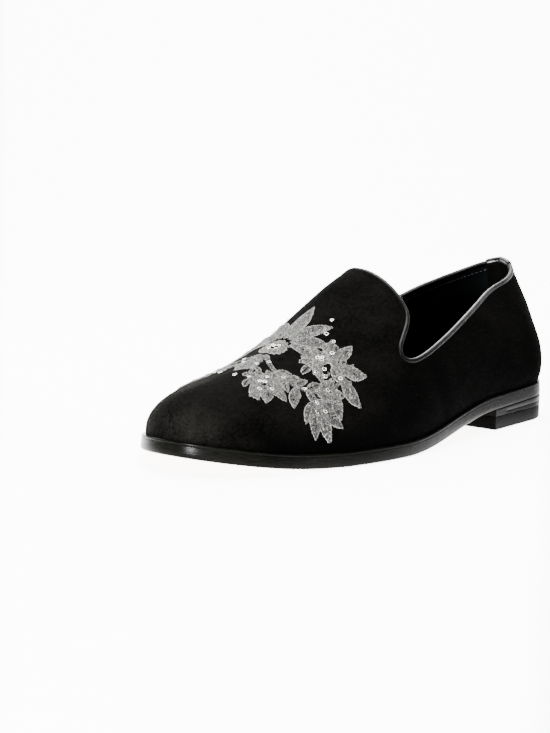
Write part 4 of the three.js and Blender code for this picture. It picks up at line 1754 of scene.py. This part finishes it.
        self.sequins([fan + (1, 1), fan + (3.5, 4.5), fan + (-0.5, 6.0)], 1.0)
        self.leaf(np.linspace((c + 13, 0), (c + 32, 0), 40), 2.8, 0.6)
        for line, shares, radius in ((main, self.MAIN_SEQUINS, 0.95), (low, self.LOW_SEQUINS, 0.9)):
            for share in shares:
                self.sequins([line[int(share * (len(line) - 1))]], radius)
        loose = [(c - 3, 25), (c - 5.5, 21), (c + 27, 15.5), (c - 18, 14), (c - 12, 22), (c + 36, 4)]
        self.sequins(loose, 1.0)

    def build(self, thread: bpy.types.Material, metal: bpy.types.Material) -> None:
        """Sews the drawing on the vamp, in four pieces so that none is too heavy.

        A stitch arches over the velvet by a half wave that grows with its length.

        Args:
            thread: The stitches' material.
            metal: The sequins'.
        """
        self.draw()
        start, end, tone = self.broken()
        t = np.linspace(0, 1, 3)
        drawn = start[:, None] + (end - start)[:, None] * t[None, :, None]
        base, out = self.vamp.place(drawn)
        length = np.linalg.norm(end - start, axis=-1)
        least, growth = self.arch
        arch = (least + growth * np.minimum(length, 2))[:, None] * np.sin(np.pi * t)[None]
        lift = 0.05 + self.random.uniform(0, 0.12, len(start))[:, None] + arch
        spine = base + out * lift[..., None]
        middle = (start + end) / 2
        outer, front = middle[:, 1] >= 0, middle[:, 0] >= self.centre
        LOG.info("%d stitches", len(start))
        for name, chosen in (("outer_toe", outer & front), ("outer_tongue", outer & ~front),
                             ("inner_toe", ~outer & front), ("inner_tongue", ~outer & ~front)):
            Needle.cords(f"embroidery_{name}", spine[chosen], out[chosen], self.radius, thread,
                         tone[chosen])
        self.sequin_mesh(metal)

    def broken(self) -> tuple[np.ndarray, np.ndarray, np.ndarray]:
        """Every stitch at its final size, with long ones broken into short ones of mixed tones.

        A little over half of the short ones are dark, a tenth are pale and the rest lie between.
        An outline's stitches are bright.

        Returns:
            Where each stitch starts, where it ends, and its tone.
        """
        start, end = (self.grown(np.concatenate(points)) for points in (self.starts, self.ends))
        tone = np.concatenate(self.tones)
        number = np.ceil(np.linalg.norm(end - start, axis=-1) / self.longest).astype(int)
        index = np.repeat(np.arange(len(start)), number)
        part = np.arange(len(index)) - np.repeat(np.cumsum(number) - number, number)
        way = (end - start)[index] / number[index, None]
        first = start[index] + way * part[:, None]
        bright = tone[index] > self.bright - 0.5
        tone = clamp(tone[index] + self.random.normal(0, 0.3, len(index)))
        draw = self.random.uniform(0, 1, len(index))
        tone = np.where(draw < self.dark_below, 0.0, np.where(draw > self.pale_above, 1.0, tone * 0.45))
        tone = np.where(bright, 0.55 + 0.45 * draw, tone)
        return first, first + way, tone

    def grown(self, drawn: np.ndarray) -> np.ndarray:
        """The drawing at its final size."""
        middle = np.array([self.centre, 0.0])
        return middle + (drawn - middle) * np.array(self.grow)

    def sequin_mesh(self, metal: bpy.types.Material) -> None:
        """Makes every ring sequin: a small torus that lies tilted on the stitches.

        Args:
            metal: Their material.
        """
        rings = np.array(self.rings)
        centre, out = self.vamp.place(self.grown(rings[:, :2]))
        count, segments, sides = len(rings), self.sequin_segments, self.sequin_sides
        out = unit(out + self.random.normal(0, 0.12, out.shape))
        first = unit(np.cross(out, np.array([0.0, 1.0, 0.0])))
        second = np.cross(out, first)
        a = 2 * np.pi * np.arange(segments) / segments
        b = 2 * np.pi * np.arange(sides) / sides
        spoke = first[:, None] * np.cos(a)[None, :, None] + second[:, None] * np.sin(a)[None, :, None]
        ring = centre[:, None] + out[:, None] * self.sequin_lift + spoke * rings[:, 2, None, None]
        tube = (spoke[:, :, None] * np.cos(b)[None, None, :, None]
                + out[:, None, None] * np.sin(b)[None, None, :, None])
        points = ring[:, :, None] + tube * self.sequin_wire
        one = grid_faces(segments, sides)[:, ::-1]
        faces = (np.arange(count)[:, None, None] * segments * sides + one).reshape(-1, 4)
        Piece.make("embroidery_sequins", points.reshape(-1, 3), [faces], [metal], sharp=80)


@dataclass(frozen=True)
class Lamp:
    """A soft panel light: its place, the point it faces and its size in metres, its power in watts."""

    name: str
    place: tuple
    aim: tuple
    width: float
    height: float
    power: float

    def build(self) -> None:
        """Hangs the lamp."""
        light = bpy.data.lights.new(self.name, "AREA")
        light.shape = "RECTANGLE"
        light.size = self.width
        light.size_y = self.height
        light.energy = self.power
        lamp = bpy.data.objects.new(self.name, light)
        lamp.location = self.place
        lamp.rotation_mode = "QUATERNION"
        lamp.rotation_quaternion = (Vector(self.aim) - Vector(self.place)).to_track_quat("-Z", "Y")
        bpy.context.scene.collection.objects.link(lamp)


@dataclass
class Studio:
    """The pale floor, the soft lights, and the camera at the photograph's angle."""

    LAMPS = (
        Lamp("overhead", (-0.25, -0.1, 1.4), (0.0, 0.0, 0.05), 1.2, 1.2, 110.0),
        Lamp("toe_strip", (1.6, 0.24, 0.2), (0.12, 0.0, 0.02), 0.2, 0.4, 260.0),
        Lamp("rim", (0.35, -1.3, 0.7), (0.02, 0.0, 0.05), 0.9, 0.5, 36.0),
    )

    azimuth: float = 51.982
    elevation: float = 7.809
    roll: float = 1.772
    distance: float = 999.53
    focal: float = 2041.26
    picture_height: float = 733.0
    sensor: float = 36.0
    target: tuple = (71.066, -0.78, 43.074)
    glow: float = 8.0
    surround: float = 0.4
    floor_front: float = 2500.0
    floor_back: float = 1000.0
    bend_radius: float = 600.0
    half_width: float = 4000.0
    backdrop: float = 4000.0
    pool_slope: float = 0.136
    pool_fade: float = 0.03

    def build(self) -> None:
        """Makes floor, lights and camera."""
        self.sweep()
        self.world()
        for lamp in self.LAMPS:
            lamp.build()
        self.camera()

    def sweep(self) -> None:
        """Makes the floor, which curves up into a backdrop behind the shoe.

        It glows in a wedge that opens away from the camera's place, and hardly at all beside it, so
        that the shoe stands before white and still mirrors a dark room. The wedge is fixed to the
        floor's own coordinates.
        """
        bend = np.linspace(0, math.pi / 2, 24)
        curve = self.floor_back + self.bend_radius * np.sin(bend)
        away = np.concatenate([[-self.floor_front], curve, [self.floor_back + self.bend_radius]])
        height = np.concatenate([[0.0], self.bend_radius * (1 - np.cos(bend)), [self.backdrop]])
        azimuth = math.radians(self.azimuth)
        back = -np.array([math.sin(azimuth), math.cos(azimuth)])
        across = np.array([-back[1], back[0]]) * self.half_width
        lines = [away[:, None] * back + side * across for side in (-1, 1)]
        points = np.concatenate([np.concatenate([line, height[:, None]], 1) for line in lines])
        mesh = bpy.data.meshes.new("floor")
        faces = grid_faces(2, len(away), around=False, closed=False)
        mesh.from_pydata(points * MM, [], faces.tolist())
        mesh.shade_smooth()
        tree = Tree("floor")
        x, y = (tree.add("ShaderNodeSeparateXYZ", {"Vector": tree.place}, out=axis) for axis in "XY")
        aim_x, aim_y, _ = self.target
        aside = x * float(-back[1]) + y * float(back[0]) + float(aim_x * back[1] - aim_y * back[0]) * MM
        beyond = x * float(back[0]) + y * float(back[1]) + self.distance * MM
        past = tree.add("ShaderNodeMath", {0: aside}, operation="ABSOLUTE") - beyond * self.pool_slope
        edge = tree.steps(past, 0.0, self.pool_fade)
        pool = tree.blend(edge, (1.0, 1.0, 1.0), (0.03, 0.03, 0.03))
        material = tree.finish((0.6, 0.6, 0.6), 0.7, Specular_IOR_Level=0.2, Emission_Color=pool,
                               Emission_Strength=self.glow)
        mesh.materials.append(material)
        floor = bpy.data.objects.new("floor", mesh)
        bpy.context.scene.collection.objects.link(floor)

    def world(self) -> None:
        """Fills the surroundings with even white light."""
        world = bpy.data.worlds.new("studio")
        world.use_nodes = True
        background = world.node_tree.nodes["Background"]
        background.inputs["Color"].default_value = (1, 1, 1, 1)
        background.inputs["Strength"].default_value = self.surround
        bpy.context.scene.world = world

    def camera(self) -> None:
        """Places the camera at its angle around the shoe, rolled as the photograph is."""
        az, el, roll = (math.radians(v) for v in (self.azimuth, self.elevation, self.roll))
        back = Vector((math.sin(az) * math.cos(el), math.cos(az) * math.cos(el), math.sin(el)))
        right = (-back).cross(Vector((0, 0, 1))).normalized()
        up = right.cross(-back)
        across = right * math.cos(roll) + up * math.sin(roll)
        above = up * math.cos(roll) - right * math.sin(roll)
        lens = bpy.data.cameras.new("camera")
        lens.sensor_width = self.sensor
        lens.lens = self.focal * self.sensor / self.picture_height
        lens.clip_end = 100
        camera = bpy.data.objects.new("camera", lens)
        place = (Vector(self.target) + back * self.distance) * MM
        turned = Matrix((across, above, back)).transposed().to_4x4()
        camera.matrix_world = Matrix.Translation(place) @ turned
        bpy.context.scene.collection.objects.link(camera)
        bpy.context.scene.camera = camera


def main() -> None:
    """Builds the shoe's sub-assemblies in order, and then the studio around them."""
    logging.basicConfig(level=logging.INFO, format="%(name)s %(message)s")
    last = Last()
    shell = Shell(last)
    velvet = Velvet().material()
    lining = Leather("lining_leather", deep=(0.0004, 0.0007, 0.0008), pale=(0.0012, 0.0018, 0.0020),
                     roughness=0.5, grain=0.7, relief=0.00003, specular=0.05).material()
    roll = Leather("binding_leather", deep=(0.0003, 0.0003, 0.0002), pale=(0.0010, 0.0010, 0.0009),
                   roughness=0.22, grain=0.6, relief=0.00003, specular=0.07).material()
    gloss = Leather("tab_leather", deep=(0.0004, 0.0004, 0.0003), pale=(0.0012, 0.0012, 0.0010),
                    roughness=0.22, grain=0.7, relief=0.00002, specular=0.2).material()
    ink = EdgeInk().material()
    stack = EdgeInk("stacked_leather", deep=(0.0004, 0.0004, 0.0003), pale=(0.0012, 0.0012, 0.0010),
                    roughness=0.3, specular=0.015).material()
    black_thread = Thread("black_thread", dark=(0.002, 0.002, 0.002), light=(0.010, 0.010, 0.009),
                          roughness=0.5, metallic=0.0).material()
    silver_thread = Thread("silver_thread", dark=(0.0006, 0.0006, 0.0005),
                           light=(0.12, 0.117, 0.105)).material()
    metal = Thread("sequin", dark=(0.4, 0.4, 0.37), light=(0.4, 0.4, 0.37), roughness=0.2,
                   metallic=1.0).material()
    upper = Upper(shell)
    upper.build(velvet, lining, black_thread)
    Binding(shell).build(roll)
    HeelTab(shell).build(gloss)
    Sole(last).build(ink, NaturalLeather().material())
    Heel(last).build(stack, Rubber().material())
    Sock(upper).build(lining)
    Embroidery(Vamp(last)).build(silver_thread, metal)
    Studio().build()
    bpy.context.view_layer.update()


if __name__ == "__main__":
    main()
